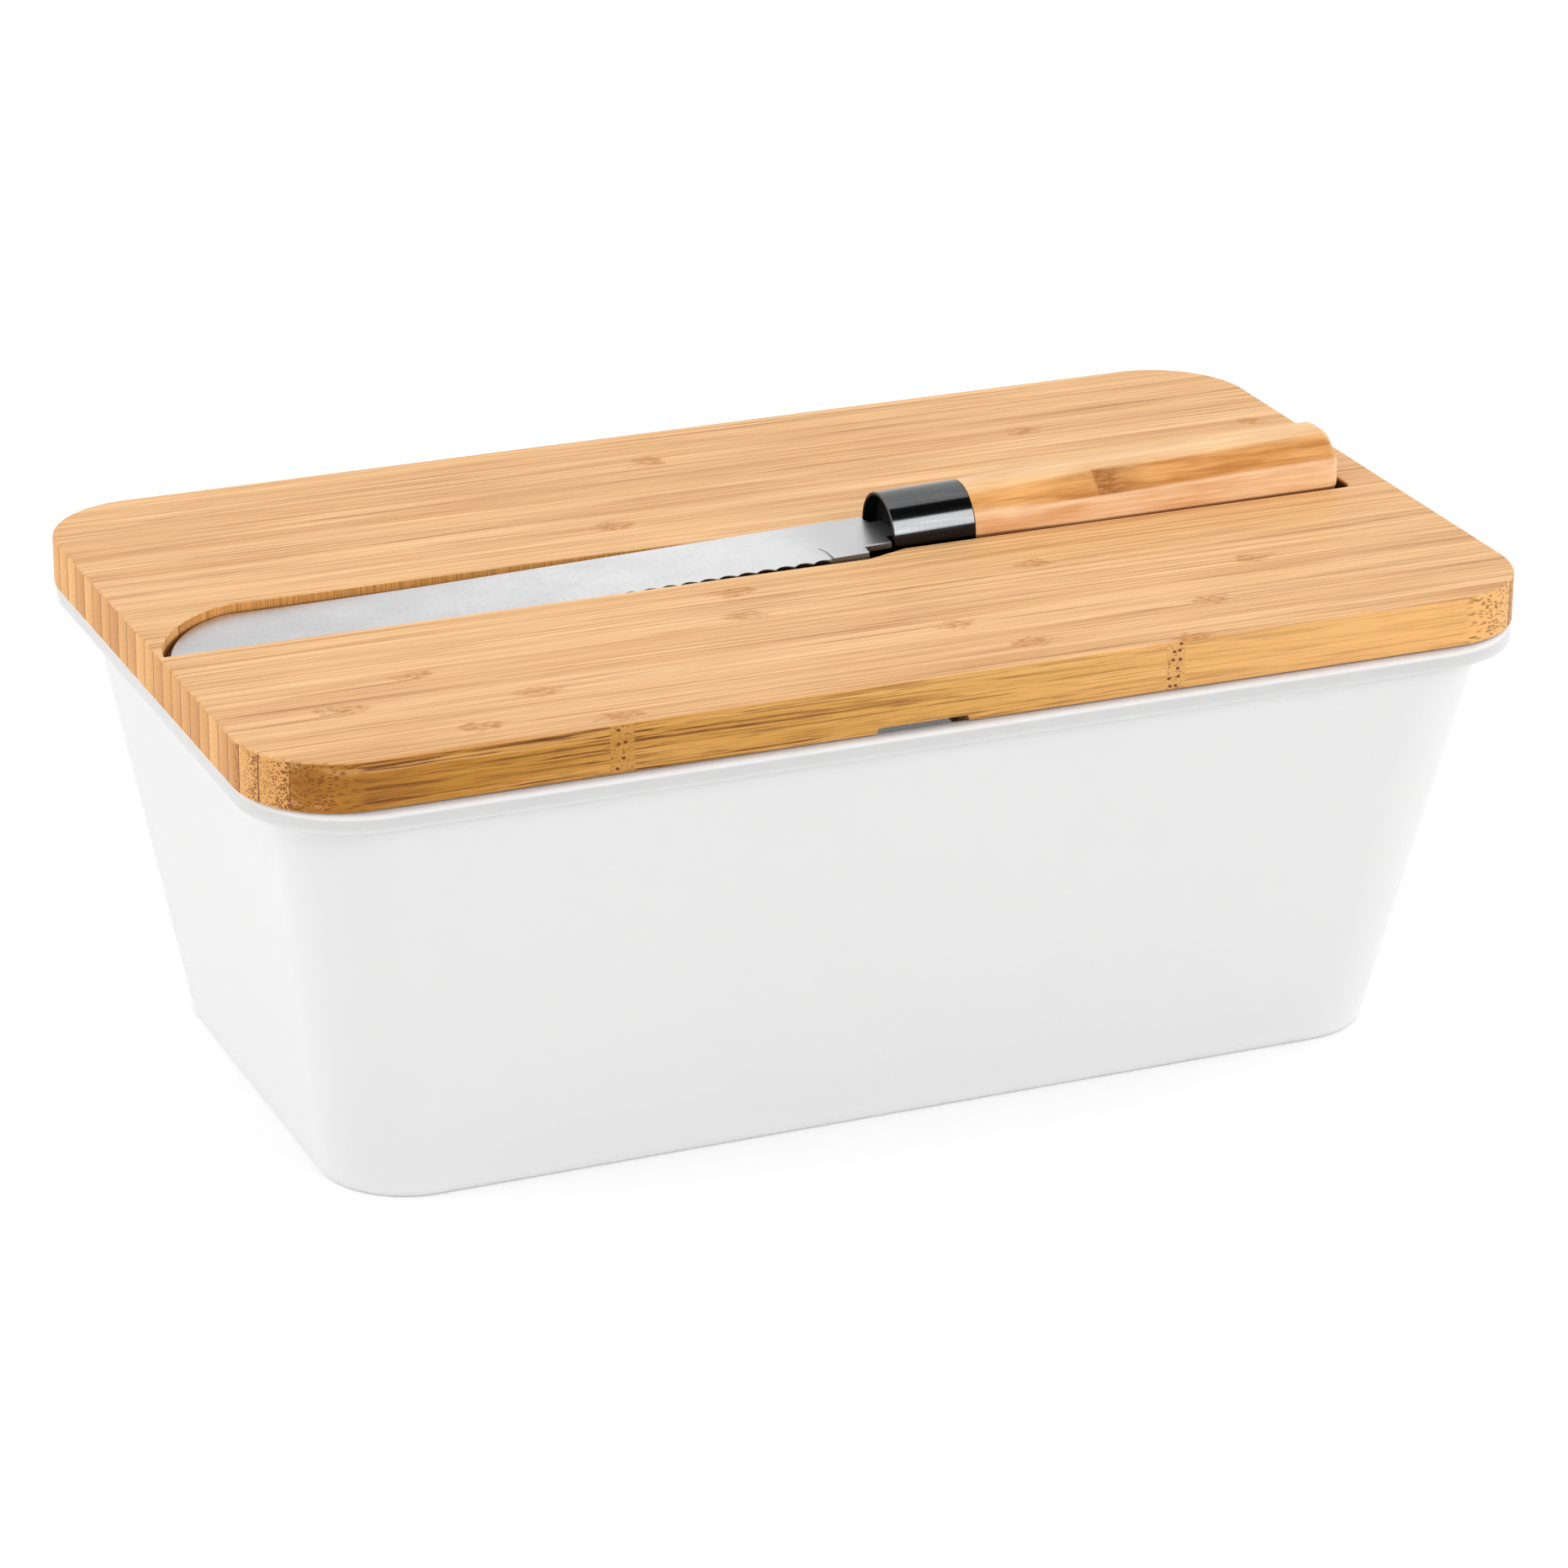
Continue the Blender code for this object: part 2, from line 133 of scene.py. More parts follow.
HANDLE_HALF_WIDTH = 0.0120
HANDLE_HALF_HEIGHT = 0.0110
HANDLE_SWELL = 0.0350
HANDLE_END_ROUND = 0.0032
FACET_PAIRS = 4
TANG_CLEARANCE = 0.0003
TANG_SLOT_SPARE = 0.0020

# Knife pocket, cut into the board in two depths
POCKET_SIDE = 0.0006
POCKET_BACK = 0.0014
POCKET_WIDE = 0.0034
POCKET_TIP = 0.0026
POCKET_LEAD = 0.0024
POCKET_CORNER = 0.0040
TIP_MARGIN = 0.0015
HANDLE_POCKET_SIDE = 0.0003
HANDLE_POCKET_START = 0.0010
HANDLE_POCKET_CORNER = 0.0026
HANDLE_MARGIN = 0.0118
HANDLE_POCKET_INSET = 0.00002

# Powers of the curved outlines, and shares along the blade where its back rises and the pocket's back bends
TIP_POWER = 1.65
SPINE_POWER = 1.5
FACET_POWER = 18
SPINE_RISE_SHARE = 0.6
POCKET_BEND_SHARE = 0.38

# Steps in the round stretches
CORNER_STEPS = 24
ROUND_STEPS = 6
TIP_STEPS = 40
SCALLOP_STEPS = 12
PLUNGE_STEPS = 10
TUBE_STEPS = 96
POCKET_CORNER_STEPS = 10
SWELL_STEPS = 14

# Angles in degrees above which edges are sharp, a mitre's least divisor, and how the ferrule's bore faces
SHARP_ANGLE = 32
BOARD_SHARP_ANGLE = 25
MITRE_LIMIT = 0.5
BORE_FACING = -0.9

# Camera
CAMERA_PLACE = (-0.5879, -1.3905, 0.6813)
CAMERA_YAW = math.radians(22.99)
CAMERA_PITCH = math.radians(22.13)
CAMERA_ROLL = math.radians(0.325)
CAMERA_LENS = 134.0
CAMERA_REACH = 50


def tone(red, green, blue):
    """A colour given as it appears on screen, from 0 to 255, as the shader's linear values."""
    linear = []
    for level in (red, green, blue):
        share = level / 255
        linear.append(share / 12.92 if share <= 0.04045 else ((share + 0.055) / 1.055) ** 2.4)
    return (*linear, 1)


def grey(level):
    """A grey, given as the shader's linear value."""
    return (level, level, level, 1)


# Shapes


def add_piece(name, points, faces):
    """A mesh object whose faces all point out."""
    mesh = bpy.data.meshes.new(name)
    shape = bmesh.new()
    corners = [shape.verts.new(point) for point in points]
    for face in faces:
        shape.faces.new([corners[index] for index in face])
    bmesh.ops.recalc_face_normals(shape, faces=shape.faces)
    shape.to_mesh(mesh)
    shape.free()
    made = bpy.data.objects.new(name, mesh)
    bpy.context.scene.collection.objects.link(made)
    return made


def loft(name, rings):
    """A closed solid through rings of equally many points, with a flat cap on the first and the last."""
    size = len(rings[0])
    points = [point for ring in rings for point in ring]
    faces = [list(range(size)), [(len(rings) - 1) * size + index for index in range(size)]]
    for low in range(len(rings) - 1):
        faces += band(low, low + 1, size)
    return add_piece(name, points, faces)


def band(low, high, size):
    """The faces between two rings."""
    faces = []
    for index in range(size):
        following = (index + 1) % size
        first, second = low * size, high * size
        faces.append([first + index, first + following, second + following, second + index])
    return faces


def carve(piece, cutters):
    """Cuts the cutters out of the piece for good, and removes them."""
    for cutter in cutters:
        modifier = piece.modifiers.new(cutter.name, "BOOLEAN")
        modifier.operation = "DIFFERENCE"
        modifier.solver = "EXACT"
        modifier.object = cutter
    graph = bpy.context.evaluated_depsgraph_get()
    carved = bpy.data.meshes.new_from_object(piece.evaluated_get(graph))
    piece.modifiers.clear()
    piece.data = carved
    for cutter in cutters:
        bpy.data.objects.remove(cutter, do_unlink=True)


def smooth(piece, angle=SHARP_ANGLE):
    """Smooth shading that keeps the large faces flat and the edges above this angle sharp."""
    piece.data.shade_smooth()
    piece.data.set_sharp_from_angle(angle=math.radians(angle))
    weighted = piece.modifiers.new("weighted_normals", "WEIGHTED_NORMAL")
    weighted.keep_sharp = True
    weighted.weight = 100


def finish_piece(piece, node, body, finish):
    """Gives the piece its material, and lets it stand for the CAD node and move with the body."""
    piece.data.materials.clear()
    piece.data.materials.append(finish)
    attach(piece, body)
    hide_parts(node)


def plan(length, width, corner, level, inset=0):
    """A level ring: a rectangle with round corners, drawn in by the inset."""
    length, width, corner = length - 2 * inset, width - 2 * inset, corner - inset
    ring = []
    for quarter in range(4):
        side_x = 1 if quarter in (0, 3) else -1
        side_y = 1 if quarter in (0, 1) else -1
        for step in range(CORNER_STEPS + 1):
            angle = (quarter + step / CORNER_STEPS) * math.pi / 2
            x = side_x * (length / 2 - corner) + corner * math.cos(angle)
            y = side_y * (width / 2 - corner) + corner * math.sin(angle)
            ring.append(Vector((x, y, level)))
    return ring


def wall_plan(level, inset=0):
    """The bin's outer wall at one level, drawn in by the inset. It runs straight from base to mouth."""
    share = level / BIN_TOP
    mouth = (MOUTH_LENGTH + 2 * WALL, MOUTH_WIDTH + 2 * WALL, MOUTH_CORNER + WALL)
    base = (MOUTH_LENGTH - 2 * DRAW_END, MOUTH_WIDTH - 2 * DRAW_SIDE, BASE_CORNER)
    length, width, corner = (low + (high - low) * share for low, high in zip(base, mouth))
    return plan(length, width, corner, level, inset)


def rim_plan(level, inset=0):
    """The rim's outside."""
    return plan(RIM_LENGTH, RIM_WIDTH, RIM_CORNER, level, inset)


def board_plan(level, inset=0):
    """The board's edge."""
    return plan(BOARD_LENGTH, BOARD_WIDTH, BOARD_CORNER, level, inset)


def plug_plan(level, inset=0):
    """The board's plug follows the taper of the mouth."""
    return wall_plan(level, WALL + PLUG_CLEARANCE + inset)


def quarter_round(radius):
    """(inset, drop) pairs from the top of a rounded edge, fully drawn in, down to its side."""
    pairs = []
    for step in range(ROUND_STEPS + 1):
        angle = step / ROUND_STEPS * math.pi / 2
        pairs.append((radius * (1 - math.sin(angle)), radius * (1 - math.cos(angle))))
    return pairs


def make_bin():
    """Rings up the outside, round the turned-down rim, and down the inside to the floor."""
    rings = [wall_plan(drop, inset) for inset, drop in quarter_round(BASE_ROUND)]
    rings.append(wall_plan(BIN_TOP - RIM_WALL))
    rings.append(rim_plan(BIN_TOP - RIM_WALL, RIM_WALL))
    rings.append(rim_plan(BIN_TOP - RIM_DEPTH, RIM_WALL))
    for inset, drop in quarter_round(RIM_FOOT_ROUND):
        rings.append(rim_plan(BIN_TOP - RIM_DEPTH + drop, inset))
    for inset, drop in reversed(quarter_round(RIM_ROUND)):
        rings.append(rim_plan(BIN_TOP - drop, inset))
    for inset, drop in quarter_round(MOUTH_ROUND):
        rings.append(wall_plan(BIN_TOP - drop, WALL - inset))
    for inset, drop in reversed(quarter_round(FLOOR_ROUND)):
        rings.append(wall_plan(FLOOR + drop, WALL + inset))
    made = loft("bin_moulding", rings)
    smooth(made)
    return made


def world_x(place):
    """Where this place along the knife's axis lies along the object."""
    return KNIFE_PLACE + place * math.cos(KNIFE_TILT)


def axis_level(place):
    """How high the knife's axis lies, at this place along it."""
    return BOARD_TOP + KNIFE_RISE + place * math.sin(KNIFE_TILT)


def tip_curve(reach, back, front, curve):
    """Points from where the back starts to turn, round to the point where the tip meets the edge line."""
    points = []
    for step in range(TIP_STEPS + 1):
        angle = step / TIP_STEPS * math.pi / 2
        along = math.sin(angle) ** (2 / TIP_POWER)
        across = max(math.cos(angle), 0) ** (2 / TIP_POWER)
        points.append((-reach + curve * (1 - along), front + (back - front) * across))
    return points


def rounded_corner(before, corner, after, radius):
    """Points of an arc that rounds this corner of an outline."""
    before, corner, after = Vector(before), Vector(corner), Vector(after)
    one, two = (before - corner).normalized(), (after - corner).normalized()
    half = one.angle(two) / 2
    middle = corner + (one + two).normalized() * radius / math.sin(half)
    start = corner + one * radius / math.tan(half) - middle
    end = corner + two * radius / math.tan(half) - middle
    points = []
    for step in range(POCKET_CORNER_STEPS + 1):
        spoke = start.lerp(end, step / POCKET_CORNER_STEPS).normalized() * radius
        points.append(tuple(middle + spoke))
    return points


def pocket_outline():
    """The whole pocket seen from above, round from the back corner of its handle end."""
    front = KNIFE_LINE + BLADE_EDGE_LINE - POCKET_SIDE
    back_tip = KNIFE_LINE + BLADE_SPINE_TIP + POCKET_BACK
    back_bend = KNIFE_LINE + BLADE_SPINE_HEEL + POCKET_WIDE
    half = HANDLE_HALF_WIDTH + HANDLE_POCKET_SIDE
    end, lead, heel = BOARD_LENGTH / 2 - HANDLE_MARGIN, world_x(POCKET_LEAD), world_x(-HEEL_PLACE)
    reach = BOARD_LENGTH / 2 - TIP_MARGIN
    start = (lead, KNIFE_LINE + half)
    finish = (lead, KNIFE_LINE - half)
    bend = (world_x(-BLADE_REACH * POCKET_BEND_SHARE), back_bend)
    low_end, high_end = (end, KNIFE_LINE - half), (end, KNIFE_LINE + half)
    return [
        *rounded_corner(low_end, high_end, start, HANDLE_POCKET_CORNER),
        start,
        bend,
        *tip_curve(reach, back_tip, front, TIP_CURVE + 2 * POCKET_TIP),
        *rounded_corner((-reach, front), (heel, front), finish, POCKET_CORNER),
        finish,
        *rounded_corner(finish, low_end, high_end, HANDLE_POCKET_CORNER),
    ]


def handle_pocket_outline():
    """The deeper slot, drawn in a hair from the pocket's sides."""
    half = HANDLE_HALF_WIDTH + HANDLE_POCKET_SIDE - HANDLE_POCKET_INSET
    low = world_x(0) - HANDLE_POCKET_START
    high = BOARD_LENGTH / 2 - HANDLE_MARGIN - HANDLE_POCKET_INSET
    front, back = KNIFE_LINE - half, KNIFE_LINE + half
    corners = [(low, front), (high, front), (high, back), (low, back)]
    outline = []
    for index, corner in enumerate(corners):
        following = corners[(index + 1) % len(corners)]
        outline += rounded_corner(corners[index - 1], corner, following, HANDLE_POCKET_CORNER)
    return outline


def spread(outline, amount):
    """The outline moved out by this amount, which suits an outline that runs anticlockwise."""
    moved = []
    for index, point in enumerate(outline):
        here = Vector(point)
        before = (here - Vector(outline[index - 1])).normalized()
        after = (Vector(outline[(index + 1) % len(outline)]) - here).normalized()
        out = Vector((before.y + after.y, -before.x - after.x)).normalized()
        mitre = max(out.dot(Vector((before.y, -before.x))), MITRE_LIMIT)
        moved.append(tuple(here + out * amount / mitre))
    return moved


def level_ring(outline, level):
    return [Vector((x, y, level)) for x, y in outline]


def make_board():
    """The board with its plug, the vent, and the pocket, whose upper edge is eased."""
    rings = [board_plan(BOARD_TOP - drop, inset) for inset, drop in quarter_round(BOARD_ROUND)]
    rings += [board_plan(BOARD_UNDER + drop, inset) for inset, drop in reversed(quarter_round(BOARD_EASE))]
    rings.append(plug_plan(BOARD_UNDER))
    for inset, drop in reversed(quarter_round(PLUG_ROUND)):
        rings.append(plug_plan(PLUG_LOW + drop, inset))
    made = loft("board", rings)
    outline = pocket_outline()
    blade_floor = axis_level(-BLADE_REACH) - BLADE_THICK / 2 - SEAT_GAP
    handle_floor = axis_level(0) - FERRULE_RADIUS - SEAT_GAP
    pocket = loft(
        "pocket",
        [
            level_ring(outline, blade_floor),
            level_ring(outline, BOARD_TOP - BOARD_EASE),
            level_ring(spread(outline, BOARD_EASE), BOARD_TOP),
            level_ring(spread(outline, BOARD_EASE), BOARD_TOP + CUT_OVERRUN),
        ],
    )
    slot_top = (blade_floor + BOARD_TOP) / 2
    slot = loft("slot", [level_ring(handle_pocket_outline(), level) for level in (handle_floor, slot_top)])
    carve(made, [make_vent_cutter(), pocket, slot])
    smooth(made, BOARD_SHARP_ANGLE)
    return made


def make_vent_cutter():
    """A channel from the front edge inwards, open below, with sides that splay downwards."""
    front = -BOARD_WIDTH / 2 - CUT_OVERRUN
    back = -BOARD_WIDTH / 2 + VENT_REACH
    ceiling, floor = BOARD_UNDER + VENT_HEIGHT, PLUG_LOW - CUT_OVERRUN
    upper, lower = VENT_WIDTH / 2, VENT_WIDTH / 2 + VENT_SPLAY
    sides = ((upper, ceiling), (lower, BOARD_UNDER), (lower, floor))
    outline = [(x, z) for x, z in sides] + [(-x, z) for x, z in reversed(sides)]
    return loft("vent", [[Vector((VENT_CENTRE + x, y, z)) for x, z in outline] for y in (front, back)])


def spine_line(place):
    """How far the blade's back lies from the knife's axis at this place. It rises towards the tip."""
    start = -BLADE_REACH * SPINE_RISE_SHARE
    end = TIP_CURVE - BLADE_REACH
    share = min(max((place - start) / (end - start), 0), 1)
    return BLADE_SPINE_HEEL + (BLADE_SPINE_TIP - BLADE_SPINE_HEEL) * share**SPINE_POWER


def scallop_rise(place, start, run, count):
    """How far the edge is cut back at this place along the row of scallops."""
    share = (place - start) / run * count % 1
    return SCALLOP_DEPTH * math.sin(math.pi * share)


def blade_stations():
    """(place, back, front, edge thickness, grind) from the tip to the end of the tang."""
    stations = []
    front = BLADE_EDGE_LINE
    for place, back in reversed(tip_curve(BLADE_REACH, BLADE_SPINE_TIP, front, TIP_CURVE)):
        back = max(back, front + TIP_BLUNT)
        grind = min(BLADE_GRIND, (back - front) * GRIND_MOST)
        stations.append((place, back, front, BLADE_EDGE_THICK, grind))
    start = TIP_CURVE - BLADE_REACH
    guard = -HEEL_PLACE - RICASSO
    run = guard - start
    count = round(run / SCALLOP_PITCH)
    total = count * SCALLOP_STEPS
    places = [start + run * step / total for step in range(1, total)]
    places += [guard - PLUNGE_RAMP * step / PLUNGE_STEPS for step in range(1, PLUNGE_STEPS)]
    for place in sorted(places):
        fade = min(max((place - guard + PLUNGE) / PLUNGE, 0), 1)
        ramp = min(max((place - guard + PLUNGE_RAMP) / PLUNGE_RAMP, 0), 1)
        grind = HEEL_SLOPE + (BLADE_GRIND - HEEL_SLOPE) * math.sqrt(1 - fade**2)
        edge = BLADE_EDGE_THICK + (BLADE_THICK - 2 * BLADE_EDGE_THICK) * ramp**2
        rise = scallop_rise(place, start, run, count)
        stations.append((place, spine_line(place), front + rise, edge, grind))
    heel = -HEEL_PLACE
    neck_back = FERRULE_RADIUS - NECK_INSET
    tang = TANG_WIDTH / 2
    full = BLADE_THICK - BLADE_EDGE_THICK
    stations.append((guard, spine_line(guard), front, full, HEEL_SLOPE))
    stations.append((heel, spine_line(heel), front, full, HEEL_SLOPE))
    stations.append((heel + HEEL_SLOPE, neck_back, -neck_back, full, HEEL_SLOPE))
    stations.append((-SEAT_GAP - HEEL_SLOPE, neck_back, -neck_back, full, HEEL_SLOPE))
    stations.append((-SEAT_GAP, tang, -tang, full, HEEL_SLOPE))
    stations.append((TANG_REACH, tang, -tang, full, HEEL_SLOPE))
    return stations


def make_blade():
    """Sections with an eased back, a flat, the grind that meets it in a soft line, and the scalloped edge."""
    half = BLADE_THICK / 2
    rings = []
    for place, back, front, edge, grind in blade_stations():
        line = front + grind
        blend = min(grind, back - line) * GRIND_SOFT
        slope = (half - edge / 2) / grind
        upper = [
            (back, half - BLADE_EASE),
            (back - BLADE_EASE, half),
            (line + blend, half),
            (line, half - slope * blend / 4),
            (line - blend, half - slope * blend),
            (front, edge / 2),
        ]
        lower = [(y, -z) for y, z in reversed(upper)]
        rings.append([Vector((place, y, z)) for y, z in upper + lower])
    made = loft("blade", rings)
    smooth(made)
    return made


def tube_ring(place, half_width, half_height, facets=0):
    """An upright ring round the knife's axis. Facets run from 0, round, to 1, eight soft-cornered sides."""
    ring = []
    for step in range(TUBE_STEPS):
        angle = step / TUBE_STEPS * math.tau
        turns = [angle - side * math.pi / FACET_PAIRS for side in range(FACET_PAIRS)]
        sides = sum(abs(math.cos(turn)) ** FACET_POWER for turn in turns)
        reach = 1 + facets * (sides ** (-1 / FACET_POWER) - 1)
        y, z = half_width * reach * math.cos(angle), half_height * reach * math.sin(angle)
        ring.append(Vector((place, y, z)))
    return ring


def make_ferrule():
    """A short open tube."""
    inner = FERRULE_RADIUS - FERRULE_WALL
    profile = [(drop, inner + inset) for inset, drop in reversed(quarter_round(FERRULE_ROUND))]
    profile += [(drop, FERRULE_RADIUS - inset) for inset, drop in quarter_round(FERRULE_ROUND)]
    profile += [(FERRULE_LENGTH, FERRULE_RADIUS), (FERRULE_LENGTH, inner)]
    rings = [tube_ring(place, radius, radius) for place, radius in profile]
    points = [point for ring in rings for point in ring]
    faces = []
    for index in range(len(rings)):
        faces += band(index, (index + 1) % len(rings), TUBE_STEPS)
    made = add_piece("ferrule_tube", points, faces)
    smooth(made)
    return made


def make_tang_cutter(low, high):
    """A cutter round the tang."""
    half_width = TANG_WIDTH / 2 + TANG_CLEARANCE
    half_height = BLADE_THICK / 2 + TANG_CLEARANCE
    sides = ((1, 1), (-1, 1), (-1, -1), (1, -1))
    rings = []
    for place in (low, high):
        rings.append([Vector((place, half_width * y, half_height * z)) for y, z in sides])
    return loft("tang_slot", rings)


def make_ferrule_filling():
    """The dark filling in the mouth of the ferrule, slotted for the tang."""
    radius = FERRULE_RADIUS - FERRULE_WALL - SEAT_GAP
    end = FERRULE_PLUG_PLACE + FERRULE_PLUG_LENGTH
    made = loft("ferrule_filling", [tube_ring(place, radius, radius) for place in (FERRULE_PLUG_PLACE, end)])
    carve(made, [make_tang_cutter(FERRULE_PLUG_PLACE - CUT_OVERRUN, end + CUT_OVERRUN)])
    smooth(made)
    return made


def make_grip():
    """A turned spigot inside the ferrule, and the grip, round at the ferrule and eight-sided further back."""
    spigot = FERRULE_RADIUS - FERRULE_WALL - SEAT_GAP
    spigot_start = FERRULE_PLUG_PLACE + FERRULE_PLUG_LENGTH + SEAT_GAP
    shoulder = FERRULE_LENGTH + SEAT_GAP
    end = FERRULE_LENGTH + HANDLE_LENGTH
    rings = [tube_ring(spigot_start, spigot, spigot), tube_ring(shoulder, spigot, spigot)]
    for step in range(SWELL_STEPS + 1):
        share = step / SWELL_STEPS
        blend = (1 - math.cos(math.pi * share)) / 2
        width = FERRULE_RADIUS + (HANDLE_HALF_WIDTH - FERRULE_RADIUS) * blend
        height = FERRULE_RADIUS + (HANDLE_HALF_HEIGHT - FERRULE_RADIUS) * blend
        rings.append(tube_ring(shoulder + HANDLE_SWELL * share, width, height, blend))
    for inset, drop in reversed(quarter_round(HANDLE_END_ROUND)):
        rings.append(tube_ring(end - drop, HANDLE_HALF_WIDTH - inset, HANDLE_HALF_HEIGHT - inset, 1))
    made = loft("grip", rings)
    carve(made, [make_tang_cutter(spigot_start - CUT_OVERRUN, TANG_REACH + TANG_SLOT_SPARE)])
    smooth(made)
    return made


# Materials

# The mix node's sockets for colours
MIX_SHARE = 0
MIX_FIRST = 6
MIX_SECOND = 7
MIX_RESULT = 2


class Tree:
    """A node tree with short calls that add nodes and link them."""

    def __init__(self, owner):
        owner.use_nodes = True
        self.tree = owner.node_tree
        self.tree.nodes.clear()

    def add(self, kind, inputs=None, **settings):
        made = self.tree.nodes.new(kind)
        for name, value in settings.items():
            setattr(made, name, value)
        for key, value in (inputs or {}).items():
            self.feed(made.inputs[key], value)
        return made

    def feed(self, socket, value):
        if isinstance(value, bpy.types.NodeSocket):
            self.tree.links.new(value, socket)
        else:
            socket.default_value = value

    def maths(self, operation, *values, clamp=False):
        inputs = dict(enumerate(values))
        return self.add("ShaderNodeMath", inputs, operation=operation, use_clamp=clamp).outputs[0]

    def total(self, *values):
        result = values[0]
        for value in values[1:]:
            result = self.maths("ADD", result, value)
        return result

    def product(self, *values):
        result = values[0]
        for value in values[1:]:
            result = self.maths("MULTIPLY", result, value)
        return result

    def size(self, value):
        return self.maths("ABSOLUTE", value)

    def distance(self, value, middle):
        """How far the value lies from the middle, on either side of it."""
        return self.size(self.total(value, -middle))

    def fade(self, value, low, high, start=0.0, end=1.0):
        """Runs smoothly from start, at the low value, to end, at the high one."""
        inputs = {"Value": value, "From Min": low, "From Max": high, "To Min": start, "To Max": end}
        return self.add("ShaderNodeMapRange", inputs, interpolation_type="SMOOTHSTEP").outputs[0]

    def blend(self, share, first, second):
        """A mix of two colours."""
        made = self.add("ShaderNodeMix", data_type="RGBA", clamp_factor=True)
        self.feed(made.inputs[MIX_SHARE], share)
        self.feed(made.inputs[MIX_FIRST], first)
        self.feed(made.inputs[MIX_SECOND], second)
        return made.outputs[MIX_RESULT]

    def ramp(self, share, stops):
        """A colour ramp through (place, colour) stops."""
        made = self.add("ShaderNodeValToRGB", {"Fac": share})
        points = made.color_ramp.elements
        while len(points) < len(stops):
            points.new(1)
        for point, (place, colour) in zip(points, stops):
            point.position = place
            point.color = colour
        return made.outputs[0]

    def coordinates(self):
        """The place on the piece, and the direction in which its surface faces."""
        outputs = self.add("ShaderNodeTexCoord").outputs
        return outputs["Object"], outputs["Normal"]

    def split(self, vector):
        return self.add("ShaderNodeSeparateXYZ", {0: vector}).outputs

    def join(self, x, y, z):
        return self.add("ShaderNodeCombineXYZ", {0: x, 1: y, 2: z}).outputs[0]

    def stretch(self, place, scale):
        """The place multiplied by a scale that has one number for each axis."""
        return self.add("ShaderNodeVectorMath", {0: place, 1: scale}, operation="MULTIPLY").outputs[0]

    def noise(self, place, scale, detail, roughness):
        """Noise from 0 to 1."""
        stretched = self.stretch(place, scale)
        inputs = {"Vector": stretched, "Scale": 1.0, "Detail": detail, "Roughness": roughness}
        return self.add("ShaderNodeTexNoise", inputs).outputs["Fac"]

    def centred(self, value, strength):
        """A noise from 0 to 1 turned into a change round 0."""
        return self.product(self.total(value, -0.5), strength)

    def cells(self, place, scale, randomness):
        """Distance to the nearest cell's middle, in cells."""
        inputs = {"Vector": self.stretch(place, scale), "Scale": 1.0, "Randomness": randomness}
        return self.add("ShaderNodeTexVoronoi", inputs).outputs["Distance"]

    def surface(self, colour, roughness, bump, strength, depth, **values):
        """A Principled surface with a bump. The further values go on the shader's own sockets."""
        shader = self.add("ShaderNodeBsdfPrincipled", {"Base Color": colour, "Roughness": roughness})
        for name, value in values.items():
            shader.inputs[name.replace("_", " ")].default_value = value
        inputs = {"Strength": strength, "Distance": depth, "Height": bump}
        self.feed(shader.inputs["Normal"], self.add("ShaderNodeBump", inputs).outputs[0])
        self.add("ShaderNodeOutputMaterial", {"Surface": shader.outputs[0]})


def new_material(name):
    made = bpy.data.materials.new(name)
    return made, Tree(made)


# Patterns of noise: scale along X, Y and Z in cells to the metre, detail and roughness
STRIP_BENDS = ((5, 9, 30), 2, 0.5)
FIBRES = ((13, 760, 760), 3, 0.7)
FINE_FIBRES = ((13, 1150, 1150), 3, 0.7)
STREAKS = ((3.5, 240, 70), 3, 0.55)
CLOUDS = ((12, 45, 45), 2, 0.5)
MARK_SPECKS = ((420, 1300, 1300), 3, 0.6)
MARK_BENDS_ALONG = ((150, 420, 420), 2, 0.5)
MARK_BENDS_ACROSS = ((260, 300, 300), 2, 0.5)
FRONT_CLOUDS = ((8, 200, 330), 3, 0.6)
FRONT_COARSE = ((22, 300, 1500), 2, 0.5)
FRONT_SMALL = ((70, 500, 2600), 2, 0.6)
FRONT_BANDS = ((7, 60, 420), 2, 0.5)
FRONT_SPECKS = ((900, 500, 1300), 2, 0.5)
CUTTER_TICKS = ((2400, 60, 60), 2, 0.5)
GRIP_FIBRES = ((40, 1100, 1100), 3, 0.7)
GRIP_STREAKS = ((20, 300, 300), 3, 0.6)
GRIP_CLOUDS = ((50, 120, 120), 2, 0.5)
GRIP_SPECKS = ((190, 760, 760), 3, 0.65)
PLASTIC_CLOUDS = ((9, 9, 9), 3, 0.5)
PLASTIC_GRAIN = ((1400, 1400, 1400), 2, 0.5)
BRUSHED_LINES = ((5200, 160, 160), 3, 0.6)
STEEL_CLOUDS = ((60, 90, 90), 3, 0.5)
STEEL_MOTTLE = ((800, 800, 800), 3, 0.6)
TURNED_LINES = ((2600, 90, 90), 3, 0.6)
TUBE_STREAKS = ((60, 900, 900), 2, 0.5)
FILLING_GRAIN = ((1800, 1800, 1800), 2, 0.5)

# Strength and depth of each material's bump
BOARD_BUMP = (0.12, 0.0002)
GRIP_BUMP = (0.1, 0.0002)
PLASTIC_BUMP = (0.04, 0.0001)
STEEL_BUMP = (0.08, 0.00005)
FERRULE_BUMP = (0.05, 0.00005)
FILLING_BUMP = (0.2, 0.0001)

# Bamboo: the strips that the board is glued up from, with where their glue starts, and their fibres
STRIP = 0.0079
STRIP_EDGE = -0.0983
STRIP_WOBBLE = 0.0014
STRIP_SHIFT = 0.37
GLUE = (0.455, 0.485)
FIBRE_EDGE = (0.53, 0.68)
PORE_PITCH = 0.00062
PORE_RANDOMNESS = 0.8

